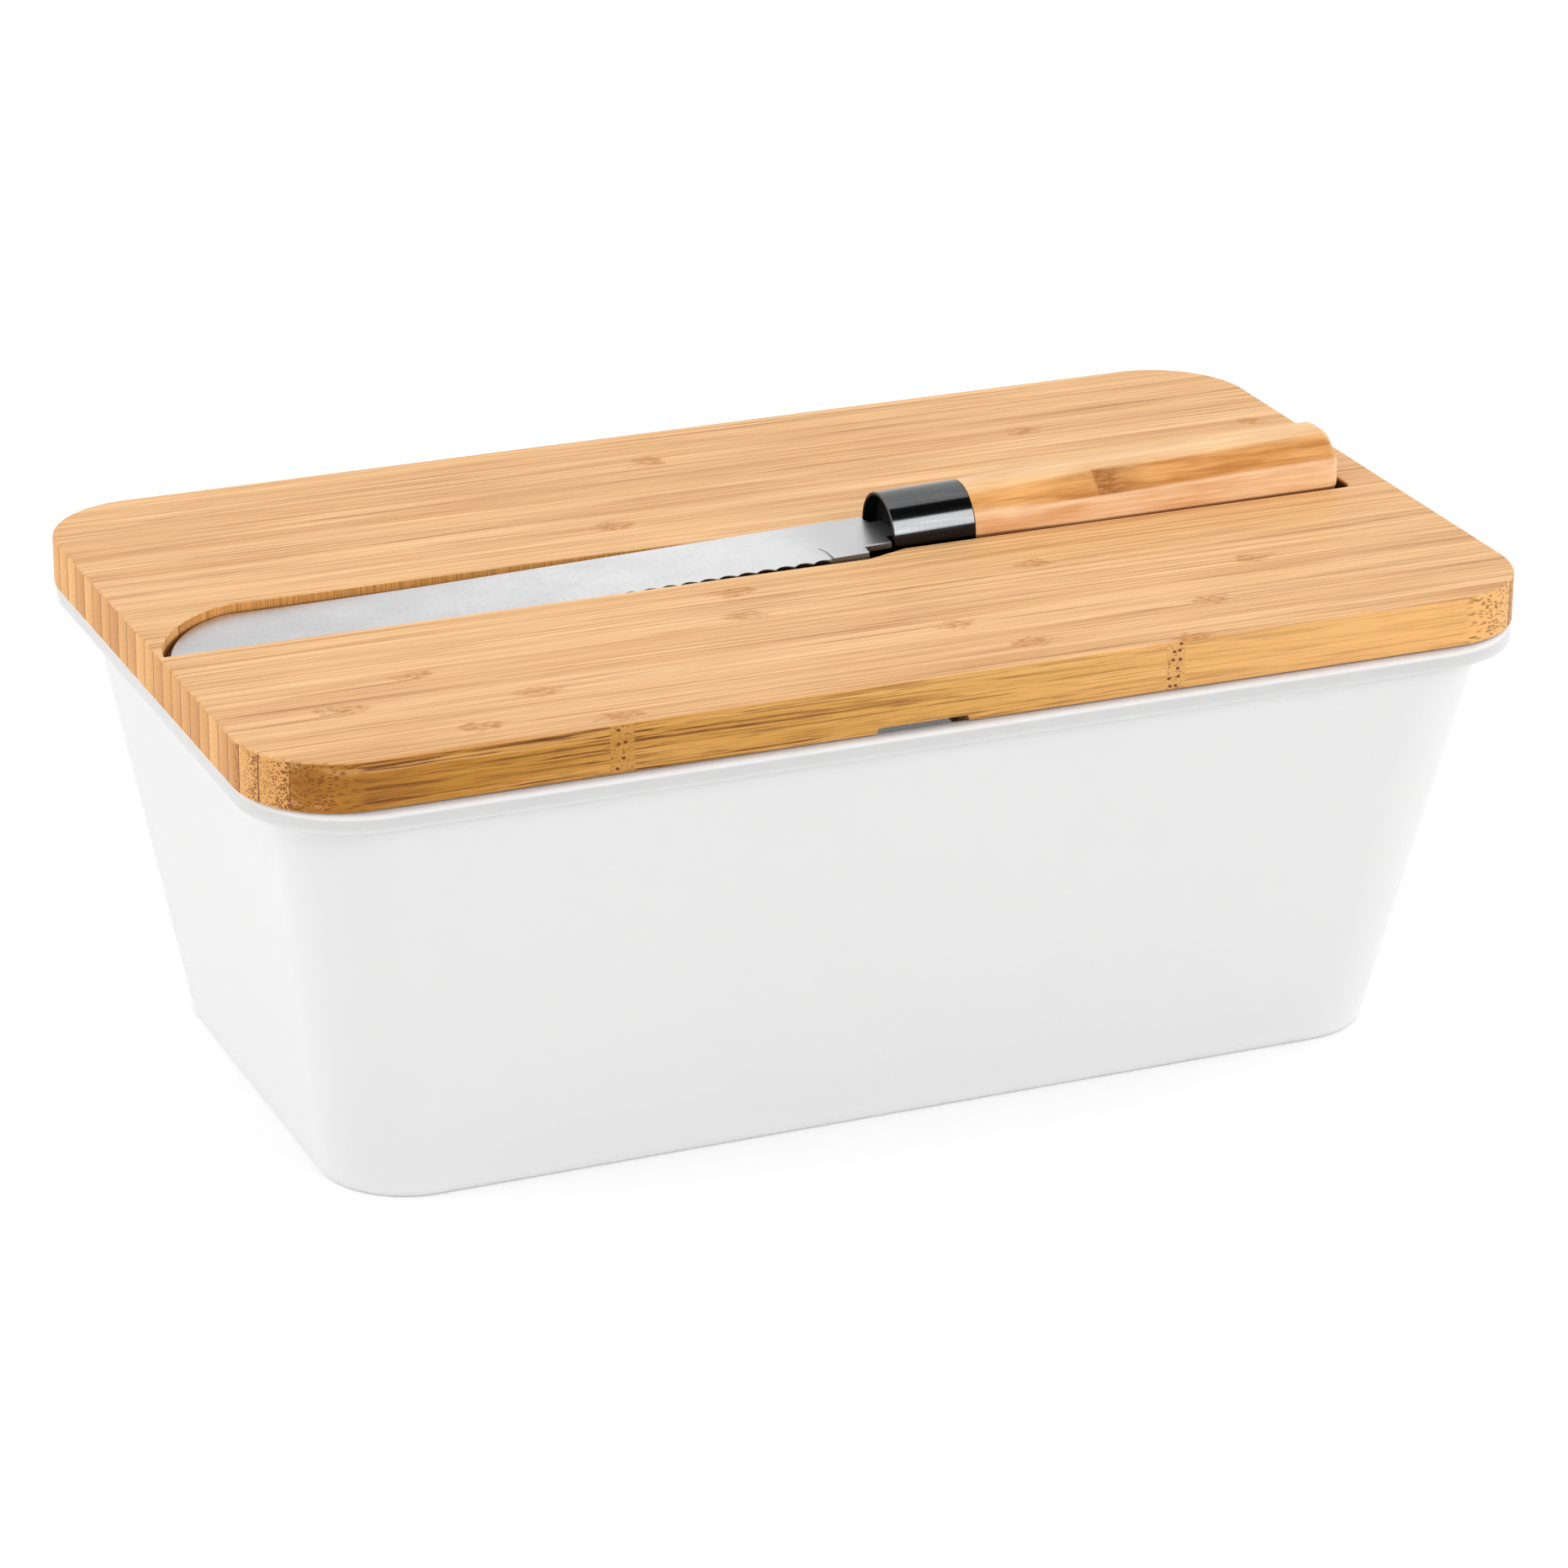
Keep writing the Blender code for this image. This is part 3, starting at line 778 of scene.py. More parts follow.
# The board's top, and its growth rings, as places along and across it
TOP_LIGHT = tone(249, 201, 143)
TOP_DARK = tone(208, 147, 86)
TOP_LINE = tone(146, 82, 34)
TOP_LEVEL = 0.58
TOP_LINE_SHARE = 0.55
TOP_GLUE_SHARE = 0.25
TOP_MARKS = (
    (-0.1252, -0.0540), (-0.0991, -0.0773), (-0.1506, -0.0708), (-0.1211, -0.0944),
    (-0.0865, -0.1009), (0.0204, -0.0726), (0.0350, -0.0921), (0.0923, -0.0809),
    (0.0757, -0.1050), (0.1049, 0.0660), (0.1701, 0.0492), (0.1171, -0.0559),
    (0.0599, -0.0376), (-0.0356, 0.0340), (-0.0246, -0.0279), (-0.0280, -0.0454),
    (-0.0065, 0.0810),
)
TOP_MARK_SIZE = (0.0072, 0.0042)
TOP_MARK_STRAY = (0.014, 0.006)
MARK_COLOUR = tone(188, 116, 40)
MARK_SHARE = 0.75

# The front face, with its growth rings as (place along, half width) and root dots as (place along, depth)
FRONT_STOPS = (
    (0.0, tone(160, 98, 14)),
    (0.14, tone(194, 133, 42)),
    (0.5, tone(223, 166, 85)),
    (0.82, tone(241, 182, 113)),
    (1.0, tone(247, 186, 112)),
)
FRONT_FAINTER = (-0.12, 0.12, 1.0, 0.28)
SIDE_LINE = tone(104, 52, 4)
COARSE_SHARE = 0.85
SMALL_SHARE = 0.5
SMALL_SHARE_BESIDE = 0.4
FRONT_MARKS = ((-0.0876, 0.0036), (0.0693, 0.0030))
FRONT_MARK_CORE = 0.8
FRONT_MARK_REACH = 3.5
FRONT_DOTS = (
    (-0.0886, 0.0017), (-0.0886, 0.0055), (-0.0868, 0.0052), (-0.0873, 0.0095),
    (-0.0890, 0.0122), (0.0707, 0.0009), (0.0687, 0.0029), (0.0703, 0.0027),
    (0.0684, 0.0052), (0.0705, 0.0053), (0.0698, 0.0077), (0.0701, 0.0100),
    (0.0673, 0.0103), (0.0677, 0.0125), (0.0693, 0.0125),
)
FRONT_DOT_SIZE = (0.00062, 0.00048)
DOT_COLOUR = tone(92, 24, 6)
DOT_SHARE = 0.9

# The board's ends, whose fibres are darkest next to the front
END_LIGHT = tone(242, 184, 112)
END_DARK = tone(204, 138, 68)
END_DOT = tone(112, 56, 12)
END_LEVEL = 0.34
END_FRONT = (-0.090, -0.072, 1.0, 0.0)
END_DOT_REACH = 0.5
END_DOT_GAIN = 5.0
END_GLUE_SHARE = 0.85

# The pocket's walls, and the painted shade low down on them and up to the rim at the end of the handle's slot
WALL_LIGHT = tone(246, 176, 98)
WALL_DARK = tone(170, 100, 40)
DEEP_SHADE_START = 0.0022
DEEP_SHADE_END = 0.0032
POCKET_SHADE_SHARE = 0.9
POCKET_SHADE_COLOUR = tone(54, 26, 8)
TIP_SHADE_COLOUR = tone(136, 76, 30)
TIP_PALE_END = -0.120
TIP_PALE_FADE = 0.02
POCKET_LIMIT = (0.020, 0.024, 1.0, 0.0)
END_LIMIT = (BOARD_LENGTH / 2 - 0.0011, BOARD_LENGTH / 2 - 0.0008, 1.0, 0.0)
SLOT_END = BOARD_LENGTH / 2 - HANDLE_MARGIN - 0.0038
SLOT_END_FADE = 0.001
SLOT_RIM = (BOARD_TOP - 0.0012, BOARD_TOP - 0.0003, 1.0, 0.0)

# Facings between which the front and the pocket's walls turn into ends, and the sides into the top
CUT_ACROSS = (0.03, 0.16)
CUT_TO_END = (0.3, 0.7)
CUT_TO_SIDE = (0.25, 0.75, 1.0, 0.0)
OUTER_STRIP_FADE = 0.0001


def bamboo_grain(tree, place):
    """The parts of the grain of upright strips laid along X, by name."""
    x, y, z = tree.split(place)
    bent = tree.total(y, tree.centred(tree.noise(place, *STRIP_BENDS), STRIP_WOBBLE))
    across = tree.product(tree.total(bent, -STRIP_EDGE), 1 / STRIP)
    index = tree.maths("FLOOR", across)
    strip = tree.add("ShaderNodeTexWhiteNoise", {"W": index}, noise_dimensions="1D")
    share = tree.maths("FRACT", across)
    own = tree.join(tree.total(x, tree.product(index, STRIP_SHIFT)), bent, z)
    pore_scale = (1.0, 1 / PORE_PITCH, 1 / PORE_PITCH)
    return {
        "strip": strip.outputs["Value"],
        "outer": tree.maths("SUBTRACT", 1.0, share),
        "glue": tree.fade(tree.distance(share, 0.5), *GLUE),
        "lines": tree.fade(tree.noise(own, *FIBRES), *FIBRE_EDGE),
        "fine": tree.noise(own, *FINE_FIBRES),
        "broad": tree.noise(own, *STREAKS),
        "cloud": tree.noise(place, *CLOUDS),
        "pores": tree.cells(tree.join(0.0, y, z), pore_scale, PORE_RANDOMNESS),
    }


def spots(tree, first, second, middles, size):
    """How near this is to the middle of any of the spots, from 0 to 1."""
    result = 0.0
    for middle in middles:
        parts = []
        for value, centre, reach in zip((first, second), middle, size):
            part = tree.product(tree.total(value, -centre), 1 / reach)
            parts.append(tree.product(part, part))
        near = tree.maths("SUBTRACT", 1.0, tree.total(*parts), clamp=True)
        result = tree.maths("MAXIMUM", result, near)
    return result


def top_colour(tree, place, grain):
    """Along the strips: pale and tan streaks, dark fibres and speckled growth rings."""
    lightness = tree.total(
        TOP_LEVEL,
        tree.centred(grain["strip"], 0.35),
        tree.centred(grain["broad"], 1.0),
        tree.centred(grain["fine"], 2.8),
        tree.centred(grain["cloud"], 0.5),
    )
    colour = tree.blend(lightness, TOP_DARK, TOP_LIGHT)
    dense = tree.fade(grain["outer"], 0.1, 0.9, 0.35, 1.0)
    colour = tree.blend(tree.product(grain["lines"], dense, TOP_LINE_SHARE), colour, TOP_LINE)
    colour = tree.blend(tree.product(grain["glue"], grain["cloud"], TOP_GLUE_SHARE), colour, TOP_LINE)
    return tree.blend(top_marks(tree, place), colour, MARK_COLOUR)


def top_marks(tree, place):
    """How strongly the growth rings in the board's top show."""
    x, y = tree.split(place)[:2]
    stray_along, stray_across = TOP_MARK_STRAY
    bent_x = tree.total(x, tree.centred(tree.noise(place, *MARK_BENDS_ALONG), stray_along))
    bent_y = tree.total(y, tree.centred(tree.noise(place, *MARK_BENDS_ACROSS), stray_across))
    mark = tree.fade(spots(tree, bent_x, bent_y, TOP_MARKS, TOP_MARK_SIZE), 0.0, 0.8)
    speckle = tree.fade(tree.noise(place, *MARK_SPECKS), 0.42, 0.58, 0.2, 1.0)
    return tree.product(mark, speckle, MARK_SHARE)


def front_colour(tree, place, cut, grain):
    """The outermost strip: golden at the left and paler to the right, lined, and dotted where cut across."""
    x, _, z = tree.split(place)
    colour = tree.ramp(tree.total(tree.product(x, 1 / BOARD_LENGTH), 0.5), FRONT_STOPS)
    cloud = tree.noise(place, *FRONT_CLOUDS)
    strong = tree.fade(x, *FRONT_FAINTER)
    colour = tree.blend(tree.product(tree.fade(cloud, 0.3, 0.6, 0.3, 0.0), strong), colour, SIDE_LINE)
    colour = tree.blend(tree.product(tree.fade(cloud, 0.5, 0.7, 0.0, 0.25), strong), colour, TOP_LIGHT)
    inside, beside = front_rings(tree, x)
    lines = tree.product(front_lines(tree, place, beside), strong, tree.maths("SUBTRACT", 1.0, inside))
    lined = tree.blend(lines, colour, SIDE_LINE)
    specks = tree.fade(tree.noise(place, *FRONT_SPECKS), 0.52, 0.66, 0.12, 0.6)
    lined = tree.blend(tree.product(inside, specks), lined, SIDE_LINE)
    depth = tree.total(BOARD_TOP, tree.product(z, -1.0))
    roots = tree.fade(spots(tree, x, depth, FRONT_DOTS, FRONT_DOT_SIZE), 0.0, 0.5)
    lined = tree.blend(tree.product(roots, DOT_SHARE), lined, DOT_COLOUR)
    dots = tree.fade(grain["pores"], 0.3, 0.5, 0.75, 0.0)
    return tree.blend(cut, lined, tree.blend(dots, colour, END_DOT))


def front_rings(tree, x):
    """Whether this is in a growth ring of the front, and how near it is to one, both from 0 to 1."""
    inside, beside = 0.0, 0.0
    for along, half in FRONT_MARKS:
        off = tree.distance(x, along)
        inside = tree.maths("MAXIMUM", inside, tree.fade(off, half * FRONT_MARK_CORE, half, 1.0, 0.0))
        beside = tree.maths("MAXIMUM", beside, tree.fade(off, half, half * FRONT_MARK_REACH, 1.0, 0.0))
    return inside, beside


def front_lines(tree, place, beside):
    """Fibres along the outermost strip, coarse and small. The small ones show more beside its rings."""
    coarse = tree.fade(tree.noise(place, *FRONT_COARSE), 0.53, 0.61)
    small = tree.fade(tree.noise(place, *FRONT_SMALL), 0.5, 0.62)
    bands = tree.fade(tree.noise(place, *FRONT_BANDS), 0.35, 0.65, 0.6, 1.0)
    small_share = tree.total(SMALL_SHARE, tree.product(beside, SMALL_SHARE_BESIDE))
    both = tree.total(tree.product(coarse, COARSE_SHARE), tree.product(small, small_share))
    return tree.product(both, bands)


def end_colour(tree, place, grain):
    """Cut across the strips: each turns from pale to brown, with dots for fibres, darkest near the front."""
    y = tree.split(place)[1]
    share = tree.total(
        tree.product(grain["outer"], 0.35),
        tree.centred(grain["strip"], 0.7),
        tree.centred(grain["cloud"], 0.6),
        END_LEVEL,
    )
    colour = tree.blend(share, END_LIGHT, END_DARK)
    near_front = tree.fade(y, *END_FRONT)
    dense = tree.fade(grain["outer"], 0.1, 0.95)
    reach = tree.total(END_DOT_REACH, tree.product(dense, 0.1))
    inside = tree.total(reach, tree.product(grain["pores"], -1.0))
    dots = tree.maths("MULTIPLY", inside, END_DOT_GAIN, clamp=True)
    strength = tree.total(0.14, tree.product(near_front, 0.36), tree.product(near_front, dense, 0.4))
    colour = tree.blend(tree.product(dots, strength), colour, END_DOT)
    return tree.blend(tree.product(grain["glue"], END_GLUE_SHARE), colour, END_DOT)


def wall_colour(tree, place):
    """The pocket's long walls, with the ticks that the cutter left."""
    ticks = tree.fade(tree.noise(place, *CUTTER_TICKS), 0.42, 0.6, 0.0, 0.5)
    return tree.blend(ticks, WALL_LIGHT, WALL_DARK)


def painted_pocket_shade(tree, place, colour):
    """The board's colour, with painted shade low on the pocket's walls and all the way up at the end of its
    slot.
    """
    x, y, z = tree.split(place)
    in_pocket = tree.fade(tree.size(y), *POCKET_LIMIT)
    off_ends = tree.fade(tree.size(x), *END_LIMIT)
    deep = tree.fade(z, BOARD_TOP - DEEP_SHADE_END, BOARD_TOP - DEEP_SHADE_START, 1.0, 0.0)
    right_of_tip = tree.fade(x, TIP_PALE_END - TIP_PALE_FADE, TIP_PALE_END)
    # Painted shade, a paler brown towards the blade's tip
    low_shade_colour = tree.blend(right_of_tip, TIP_SHADE_COLOUR, POCKET_SHADE_COLOUR)
    colour = tree.blend(tree.product(deep, in_pocket, off_ends, POCKET_SHADE_SHARE), colour, low_shade_colour)
    # Painted shade up to the rim in the gap behind the handle's end
    behind = tree.fade(x, SLOT_END - SLOT_END_FADE, SLOT_END)
    sunk = tree.fade(z, *SLOT_RIM)
    return tree.blend(tree.product(behind, sunk, in_pocket, off_ends, POCKET_SHADE_SHARE), colour, POCKET_SHADE_COLOUR)


def board_material():
    """Bamboo, cut along the strips on top, across them at the ends, and down the outermost strip in front."""
    made, tree = new_material("board_bamboo")
    place, normal = tree.coordinates()
    grain = bamboo_grain(tree, place)
    y = tree.split(place)[1]
    facing_x, _, facing_z = tree.split(normal)
    across = tree.size(facing_x)
    outer_edge = -STRIP_EDGE
    inner = tree.fade(tree.size(y), outer_edge - OUTER_STRIP_FADE, outer_edge + OUTER_STRIP_FADE, 1.0, 0.0)
    ends = end_colour(tree, place, grain)
    inner_side = tree.blend(tree.fade(across, *CUT_TO_END), wall_colour(tree, place), ends)
    front = front_colour(tree, place, tree.fade(across, *CUT_ACROSS), grain)
    side = tree.blend(inner, front, inner_side)
    side_share = tree.fade(tree.size(facing_z), *CUT_TO_SIDE)
    # Painted shade on the pocket's walls, deep down and behind the handle's end
    colour = painted_pocket_shade(tree, place, tree.blend(side_share, top_colour(tree, place, grain), side))
    roughness = tree.total(0.5, tree.centred(grain["fine"], 0.3))
    height = tree.total(grain["fine"], tree.product(grain["lines"], -0.6), tree.product(grain["glue"], -0.5))
    tree.surface(colour, roughness, height, *BOARD_BUMP, Specular_IOR_Level=0.3)
    return made


# Handle: dark and light colours of its facets, partly the bamboo's own and partly painted light and shade,
# the rises in radians where they turn, its growth ring, a ridge of painted highlight and edge wear, and
# painted shade along its foot
GRIP_FRONT = (tone(228, 168, 114), tone(254, 218, 174))
GRIP_UPPER = (tone(198, 128, 60), tone(246, 186, 114))
GRIP_TOP = (tone(228, 174, 116), tone(252, 208, 154))
GRIP_UPPER_START = (0.32, 0.66)
GRIP_TOP_START = (0.85, 1.2)
RIDGE_HIGHLIGHT_AND_WEAR = tone(255, 216, 170)
RIDGE_RISE = 0.40
RIDGE_FADE = (0.0, 0.2, 0.35, 0.0)
RING_START = world_x(0.0622)
RING_RISE = (0.42, 0.6)
RING_TOP = (0.95, 1.25, 1.0, 0.0)
RING_SHARE = 0.85
RING_COLOUR = tone(146, 82, 20)
GRIP_CONTACT_SHADE_RANGE = (BOARD_TOP + 0.0001, BOARD_TOP + 0.0009, 0.9, 0.0)
GRIP_CONTACT_SHADE = tone(120, 66, 18)


def grip_ring(tree, place, rise):
    """How strongly the growth ring shows: faintly before its start, then strongly, on the upper facets."""
    x = tree.split(place)[0]
    before = tree.fade(x, RING_START - 0.014, RING_START, 0.0, 0.3)
    after = tree.fade(x, RING_START + 0.002, RING_START + 0.019, 1.0, 0.0)
    near = tree.blend(tree.fade(x, RING_START - 0.0004, RING_START + 0.0004), before, after)
    near = tree.product(near, tree.fade(rise, *RING_RISE), tree.fade(rise, *RING_TOP))
    specks = tree.fade(tree.noise(place, *GRIP_SPECKS), 0.36, 0.62, 0.5, 1.0)
    return tree.product(near, specks, RING_SHARE)


def grip_material():
    """Bamboo, pale on top, browner on the facets beside it and pinkish on the upright ones, partly its own
    tones and partly painted light and shade, with a painted highlight and edge wear along a ridge and painted
    shade where it sinks into the pocket.
    """
    made, tree = new_material("grip_bamboo")
    place, normal = tree.coordinates()
    z = tree.split(place)[2]
    _, facing_y, facing_z = tree.split(normal)
    fine = tree.noise(place, *GRIP_FIBRES)
    lightness = tree.total(
        0.5,
        tree.centred(tree.noise(place, *GRIP_STREAKS), 1.9),
        tree.centred(fine, 1.8),
        tree.centred(tree.noise(place, *GRIP_CLOUDS), 1.0),
    )
    front, upper, top = (tree.blend(lightness, *colours) for colours in (GRIP_FRONT, GRIP_UPPER, GRIP_TOP))
    # The facets' colours by facing are partly the bamboo's own tones and partly painted light and shade
    rise = tree.maths("ARCTAN2", facing_z, tree.size(facing_y))
    colour = tree.blend(tree.fade(rise, *GRIP_UPPER_START), front, upper)
    colour = tree.blend(tree.fade(rise, *GRIP_TOP_START), colour, top)
    # Painted highlight and edge wear along the ridge between the upper and the upright facets
    colour = tree.blend(tree.fade(tree.distance(rise, RIDGE_RISE), *RIDGE_FADE), colour, RIDGE_HIGHLIGHT_AND_WEAR)
    colour = tree.blend(grip_ring(tree, place, rise), colour, RING_COLOUR)
    # Painted shade where the grip sinks below the board's top
    colour = tree.blend(tree.fade(z, *GRIP_CONTACT_SHADE_RANGE), colour, GRIP_CONTACT_SHADE)
    roughness = tree.total(0.42, tree.centred(fine, 0.2))
    tree.surface(colour, roughness, fine, *GRIP_BUMP, Specular_IOR_Level=0.35)
    return made


# Bin: its whites, and the rim's painted shade on its side and on its top, with a painted highlight round its
# edge
PLASTIC_CLOUD = (tone(235, 235, 235), tone(240, 240, 240))
RIM_SIDE_SHADE = tone(209, 209, 209)
RIM_EDGE_HIGHLIGHT = tone(232, 232, 233)
RIM_TOP_SHADE = tone(219, 220, 223)
RIM_SHADE_START = (BIN_TOP - RIM_DEPTH - 0.0004, BIN_TOP - RIM_DEPTH)
RIM_HIGHLIGHT_START = (0.2, 0.5)
RIM_TOP_SHADE_START = (0.8, 0.97)
PLASTIC_SCATTER = {"Subsurface_Weight": 1.0, "Subsurface_Radius": (1, 1, 1), "Subsurface_Scale": 0.004}


def plastic_material():
    """Satin white moulding that lets some light through its walls, with painted shade on its rim and a
    painted highlight round the rim's rounded edge.
    """
    made, tree = new_material("satin_white_plastic")
    place, normal = tree.coordinates()
    z = tree.split(place)[2]
    facing_z = tree.split(normal)[2]
    cloud = tree.noise(place, *PLASTIC_CLOUDS)
    grain = tree.noise(place, *PLASTIC_GRAIN)
    # Painted shade on the rim's side and top, and a painted highlight round its rounded edge
    shade = tree.blend(tree.fade(facing_z, *RIM_HIGHLIGHT_START), RIM_SIDE_SHADE, RIM_EDGE_HIGHLIGHT)
    shade = tree.blend(tree.fade(facing_z, *RIM_TOP_SHADE_START), shade, RIM_TOP_SHADE)
    colour = tree.blend(tree.fade(z, *RIM_SHADE_START), tree.blend(cloud, *PLASTIC_CLOUD), shade)
    roughness = tree.total(0.36, tree.product(cloud, 0.08))
    tree.surface(colour, roughness, grain, *PLASTIC_BUMP, **PLASTIC_SCATTER)
    return made


# Blade: its greys, where along it painted reflections turn it brighter and duller, and the painted shade of
# the line where the grind stops and of its narrow sides
STEEL_MOTTLED = (tone(208, 208, 209), tone(236, 236, 237))
STEEL_BRIGHT_REFLECTION = tone(248, 248, 248)
STEEL_DARK_REFLECTION = tone(176, 176, 178)
STEEL_SIDE_SHADE = tone(104, 105, 108)
STEEL_GRIND_SHADE = tone(96, 96, 98)
BRIGHT_REFLECTION_STRETCH = (-0.09, -0.01, 0.0, 0.32)
TIP_DARK_REFLECTION = (-0.19, -0.05, 0.5, 0.0)
HEEL_DARK_REFLECTION = (world_x(-0.036), world_x(-0.012), 0.0, 0.5)
GRIND_END = world_x(-HEEL_PLACE - RICASSO)
LINE_BEND = -0.0008
LINE_BEND_RISE = (0.0045, 0.0085)
LINE_WIDTH = (0.0001, 0.0005, 1.0, 0.0)
LINE_TOP = (0.0075, 0.0088, 1.0, 0.0)
GRIND_SHADE_SHARE = 0.8
SIDE_SHADE_FACING = (0.6, 0.9)


def steel_material():
    """Steel brushed across the blade, with a painted bright reflection right of its middle, painted dark
    reflections at its ends, and painted shade on its narrow sides and along the line where the grind stops.
    """
    made, tree = new_material("brushed_blade_steel")
    place, normal = tree.coordinates()
    x, y = tree.split(place)[:2]
    facing_y = tree.split(normal)[1]
    lines = tree.noise(place, *BRUSHED_LINES)
    clouds = tree.centred(tree.noise(place, *STEEL_CLOUDS), 1.0)
    mottle = tree.centred(tree.noise(place, *STEEL_MOTTLE), 1.2)
    colour = tree.blend(tree.total(0.5, clouds, mottle), *STEEL_MOTTLED)
    # Painted reflections: brighter right of the middle, duller towards the tip and at the heel next to the
    # black ferrule
    colour = tree.blend(tree.fade(x, *BRIGHT_REFLECTION_STRETCH), colour, STEEL_BRIGHT_REFLECTION)
    ends = tree.total(tree.fade(x, *TIP_DARK_REFLECTION), tree.fade(x, *HEEL_DARK_REFLECTION))
    colour = tree.blend(ends, colour, STEEL_DARK_REFLECTION)
    # Painted shade along the line where the grind stops, and on the blade's narrow sides
    colour = tree.blend(tree.product(grind_shade_line(tree, x, y), GRIND_SHADE_SHARE), colour, STEEL_GRIND_SHADE)
    colour = tree.blend(tree.fade(tree.size(facing_y), *SIDE_SHADE_FACING), colour, STEEL_SIDE_SHADE)
    roughness = tree.total(0.3, tree.product(lines, 0.12))
    tree.surface(colour, roughness, lines, *STEEL_BUMP, Metallic=1.0)
    return made


def grind_shade_line(tree, x, y):
    """How near this is to the line across the blade where the grind stops, which takes a painted shade."""
    rise = tree.total(y, -(KNIFE_LINE + BLADE_EDGE_LINE))
    bend = tree.product(tree.fade(rise, *LINE_BEND_RISE), LINE_BEND)
    off = tree.distance(tree.total(x, tree.product(bend, -1.0)), GRIND_END)
    return tree.product(tree.fade(off, *LINE_WIDTH), tree.fade(rise, *LINE_TOP))


# Ferrule and its filling
FERRULE_LINES = (tone(94, 95, 96), tone(112, 112, 113))
FERRULE_STREAK = tone(132, 132, 133)
FERRULE_LOW_SHADE = tone(36, 36, 35)
LOW_SHADE_FACING = (0.16, 0.24, 1.0, 0.0)
FILLING_TONES = (tone(5, 5, 4), tone(15, 15, 14))


def ferrule_material():
    """Dark plated metal with faint marks round it, and painted shade on the faces that look down."""
    made, tree = new_material("dark_plated_steel")
    place, normal = tree.coordinates()
    lines = tree.noise(place, *TURNED_LINES)
    streaks = tree.centred(tree.noise(place, *TUBE_STREAKS), 1.6)
    colour = tree.blend(streaks, tree.blend(lines, *FERRULE_LINES), FERRULE_STREAK)
    # Painted shade on the ferrule's faces that look down
    low = tree.fade(tree.split(normal)[2], *LOW_SHADE_FACING)
    colour = tree.blend(low, colour, FERRULE_LOW_SHADE)
    roughness = tree.total(0.08, tree.product(lines, 0.08))
    tree.surface(colour, roughness, lines, *FERRULE_BUMP, Metallic=1.0)
    return made


def filling_material():
    """Matt black plastic."""
    made, tree = new_material("matt_black_filling")
    grain = tree.noise(tree.coordinates()[0], *FILLING_GRAIN)
    colour = tree.blend(grain, *FILLING_TONES)
    roughness = tree.total(0.7, tree.product(grain, 0.2))
    tree.surface(colour, roughness, grain, *FILLING_BUMP, Specular_IOR_Level=0.12)
    return made


# Stage, light and camera

FLOOR_SIZE = 30.0
FLOOR_LIT = 0.93
FLOOR_SEEN = 0.97
FLOOR_GLOW = 0.1


def make_floor():
    """A plain pale floor. What is seen of it is white where no shadow falls."""
    half = FLOOR_SIZE / 2
    corners = [Vector((x * half, y * half, 0)) for x, y in ((-1, -1), (1, -1), (1, 1), (-1, 1))]
    floor = add_piece("floor", corners, [[0, 1, 2, 3]])
    floor.location.z = BIN_LOW.z
    made, tree = new_material("pale_floor")
    path = tree.add("ShaderNodeLightPath").outputs
    seen = tree.maths("MAXIMUM", path["Is Camera Ray"], path["Is Glossy Ray"])
    seen = tree.maths("MAXIMUM", seen, path["Is Transmission Ray"])
    matt = tree.add("ShaderNodeBsdfDiffuse", {"Color": tree.blend(seen, grey(FLOOR_LIT), grey(FLOOR_SEEN))})
    glow = tree.add("ShaderNodeEmission", {"Color": grey(1), "Strength": tree.product(seen, FLOOR_GLOW)})
    both = tree.add("ShaderNodeAddShader", {0: matt.outputs[0], 1: glow.outputs[0]})
    tree.add("ShaderNodeOutputMaterial", {"Surface": both.outputs[0]})
    floor.data.materials.append(made)


# Studio brightness by the angle round the object's length, as a share of the way from the horizon in front to
# the one behind. What the window holds of it shows in the ferrule: a bright panel, a dark gap and the ceiling
STUDIO_GAP = 0.02
STUDIO_LOW = 0.06
STUDIO_PANEL = 4.6
STUDIO_CEILING = 1.0
STUDIO_STOPS = (
    (0.025, STUDIO_LOW),
    (0.05, STUDIO_PANEL),
    (0.235, STUDIO_PANEL),
    (0.26, STUDIO_GAP),
    (0.45, STUDIO_GAP),
    (0.475, STUDIO_CEILING),
)
STUDIO_FRONT = 0.25
STUDIO_KEY = 1.6
STUDIO_FILL = 1.45
STUDIO_MOST = 5.0
CEILING_START = (0.33, 0.55)
WINDOW_LEFT = (0.16, 0.24)
WINDOW_RIGHT = (0.48, 0.58, 1.0, 0.0)
LIGHT_EDGE = (0.6, 0.85)
KEY_DIRECTION = (-0.948, -0.199, 0.249)
FILL_DIRECTION = (0.949, -0.1, 0.3)
BACK_START = (0.0, 0.2)


def studio_light(tree, direction):
    """The studio's light by direction, as a share of its greatest brightness."""
    x, y, z = tree.split(direction)
    turn = tree.maths("ARCTAN2", z, tree.product(y, -1.0))
    share = tree.maths("MULTIPLY", turn, 1 / math.pi, clamp=True)
    strip = tree.ramp(share, [(place, grey(level / STUDIO_MOST)) for place, level in STUDIO_STOPS])
    front, ceiling = grey(STUDIO_FRONT / STUDIO_MOST), grey(STUDIO_CEILING / STUDIO_MOST)
    sides = tree.blend(tree.fade(share, *CEILING_START), front, ceiling)
    for aim, level in ((KEY_DIRECTION, STUDIO_KEY), (FILL_DIRECTION, STUDIO_FILL)):
        near = tree.add("ShaderNodeVectorMath", {0: direction, 1: aim}, operation="DOT_PRODUCT")
        lit = tree.fade(near.outputs["Value"], *LIGHT_EDGE)
        sides = tree.blend(lit, sides, grey(level / STUDIO_MOST))
    window = tree.product(tree.fade(x, *WINDOW_LEFT), tree.fade(x, *WINDOW_RIGHT))
    return tree.blend(window, sides, strip)


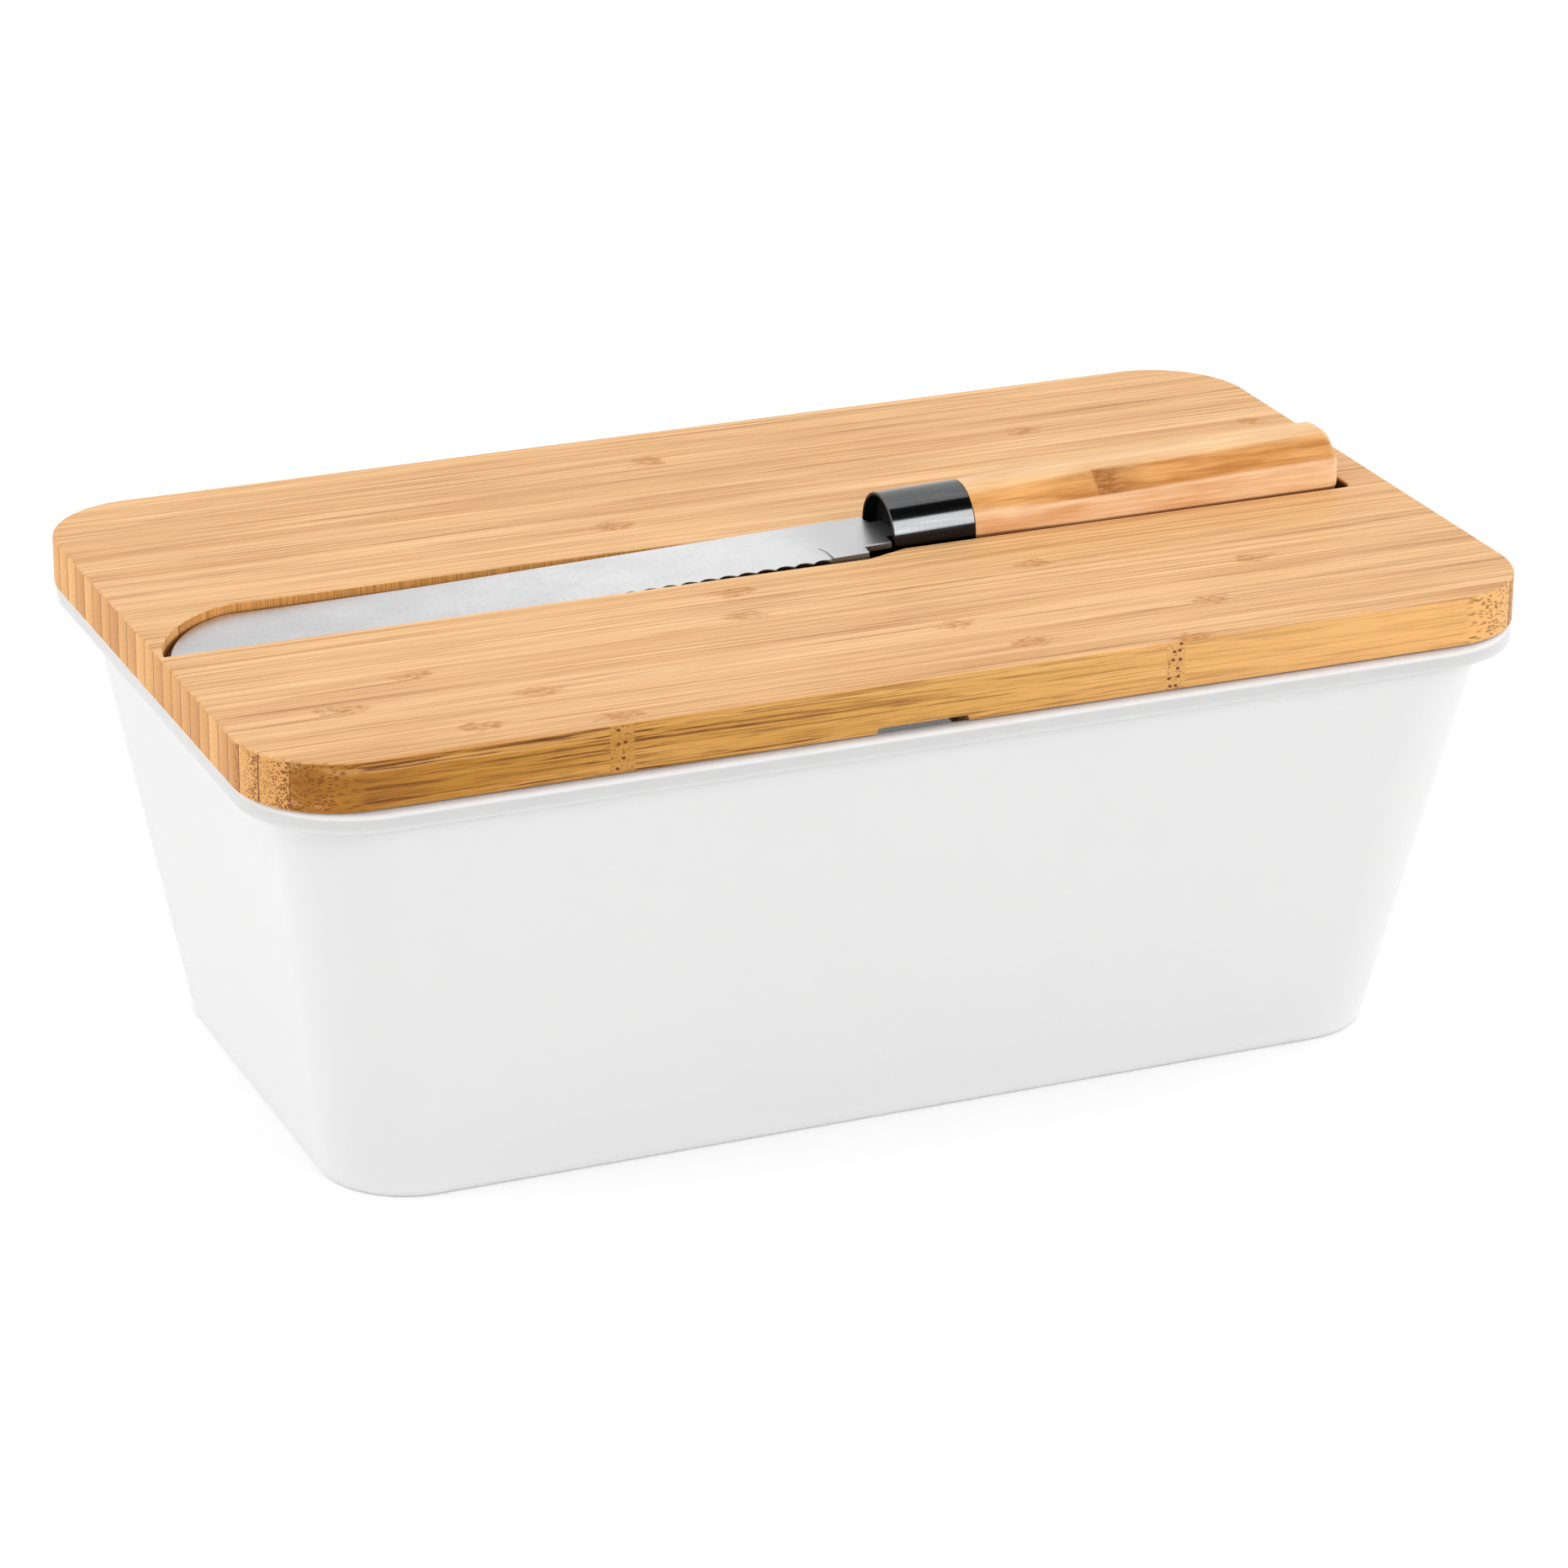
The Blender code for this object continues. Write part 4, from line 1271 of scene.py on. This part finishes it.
def make_world():
    """The studio's light, seen by the camera as white, as is what lies behind the box in a mirror."""
    world = bpy.data.worlds.new("studio")
    bpy.context.scene.world = world
    tree = Tree(world)
    direction = tree.add("ShaderNodeTexCoord").outputs["Generated"]
    light = studio_light(tree, direction)
    background = tree.add("ShaderNodeBackground", {"Color": light, "Strength": STUDIO_MOST})
    white = tree.add("ShaderNodeBackground", {"Color": grey(1), "Strength": 1.0})
    path = tree.add("ShaderNodeLightPath").outputs
    mirrored = tree.maths("MAXIMUM", path["Is Glossy Ray"], path["Is Transmission Ray"])
    behind = tree.fade(tree.split(direction)[1], *BACK_START)
    seen = tree.maths("MAXIMUM", path["Is Camera Ray"], tree.product(mirrored, behind))
    both = tree.add("ShaderNodeMixShader", {0: seen, 1: background.outputs[0], 2: white.outputs[0]})
    tree.add("ShaderNodeOutputWorld", {"Surface": both.outputs[0]})


def make_camera():
    camera = bpy.data.objects.new("camera", bpy.data.cameras.new("camera"))
    bpy.context.scene.collection.objects.link(camera)
    turn = Matrix.Rotation(-CAMERA_YAW, 4, "Z") @ Matrix.Rotation(math.pi / 2 - CAMERA_PITCH, 4, "X")
    turn = turn @ Matrix.Rotation(CAMERA_ROLL, 4, "Z")
    camera.matrix_world = Matrix.Translation(CAMERA_PLACE) @ turn
    camera.data.lens = CAMERA_LENS
    camera.data.clip_end = CAMERA_REACH
    bpy.context.scene.camera = camera


def blacken_bore(tube, finish):
    """Gives the inside of the ferrule the dark finish of its filling, which also stands as painted shade in
    the ferrule's mouth.
    """
    tube.data.materials.append(finish)
    for face in tube.data.polygons:
        place = (face.center.x - KNIFE_PLACE) / math.cos(KNIFE_TILT)
        outward = Vector((0, face.center.y - KNIFE_LINE, face.center.z - axis_level(place)))
        if face.normal.dot(outward.normalized()) < BORE_FACING:
            # The bore's black also stands as painted shade inside the ferrule's mouth
            face.material_index = 1


def dress():
    """Builds every piece with its material. The knife's pieces are made along its axis and then laid down."""
    finish_piece(make_bin(), "bin", "bin", plastic_material())
    finish_piece(make_board(), "lid_board", "lid", board_material())
    knife_frame = Matrix.Translation((KNIFE_PLACE, KNIFE_LINE, axis_level(0)))
    knife_frame = knife_frame @ Matrix.Rotation(-KNIFE_TILT, 4, "Y")
    blade = make_blade()
    tube = make_ferrule()
    filling = filling_material()
    knife = (
        (blade, "knife_blade", "brushed_steel", steel_material()),
        (tube, "ferrule", "black_steel", ferrule_material()),
        (make_ferrule_filling(), "ferrule_plug", "black_plastic", filling),
        (make_grip(), "knife_handle", "dark_bamboo", grip_material()),
    )
    for piece, node, slot, finish in knife:
        piece.data.transform(knife_frame)
        finish_piece(piece, node, "knife", finish)
    blacken_bore(tube, filling)


dress()
make_floor()
make_world()
make_camera()
bpy.context.scene.view_settings.view_transform = "Standard"
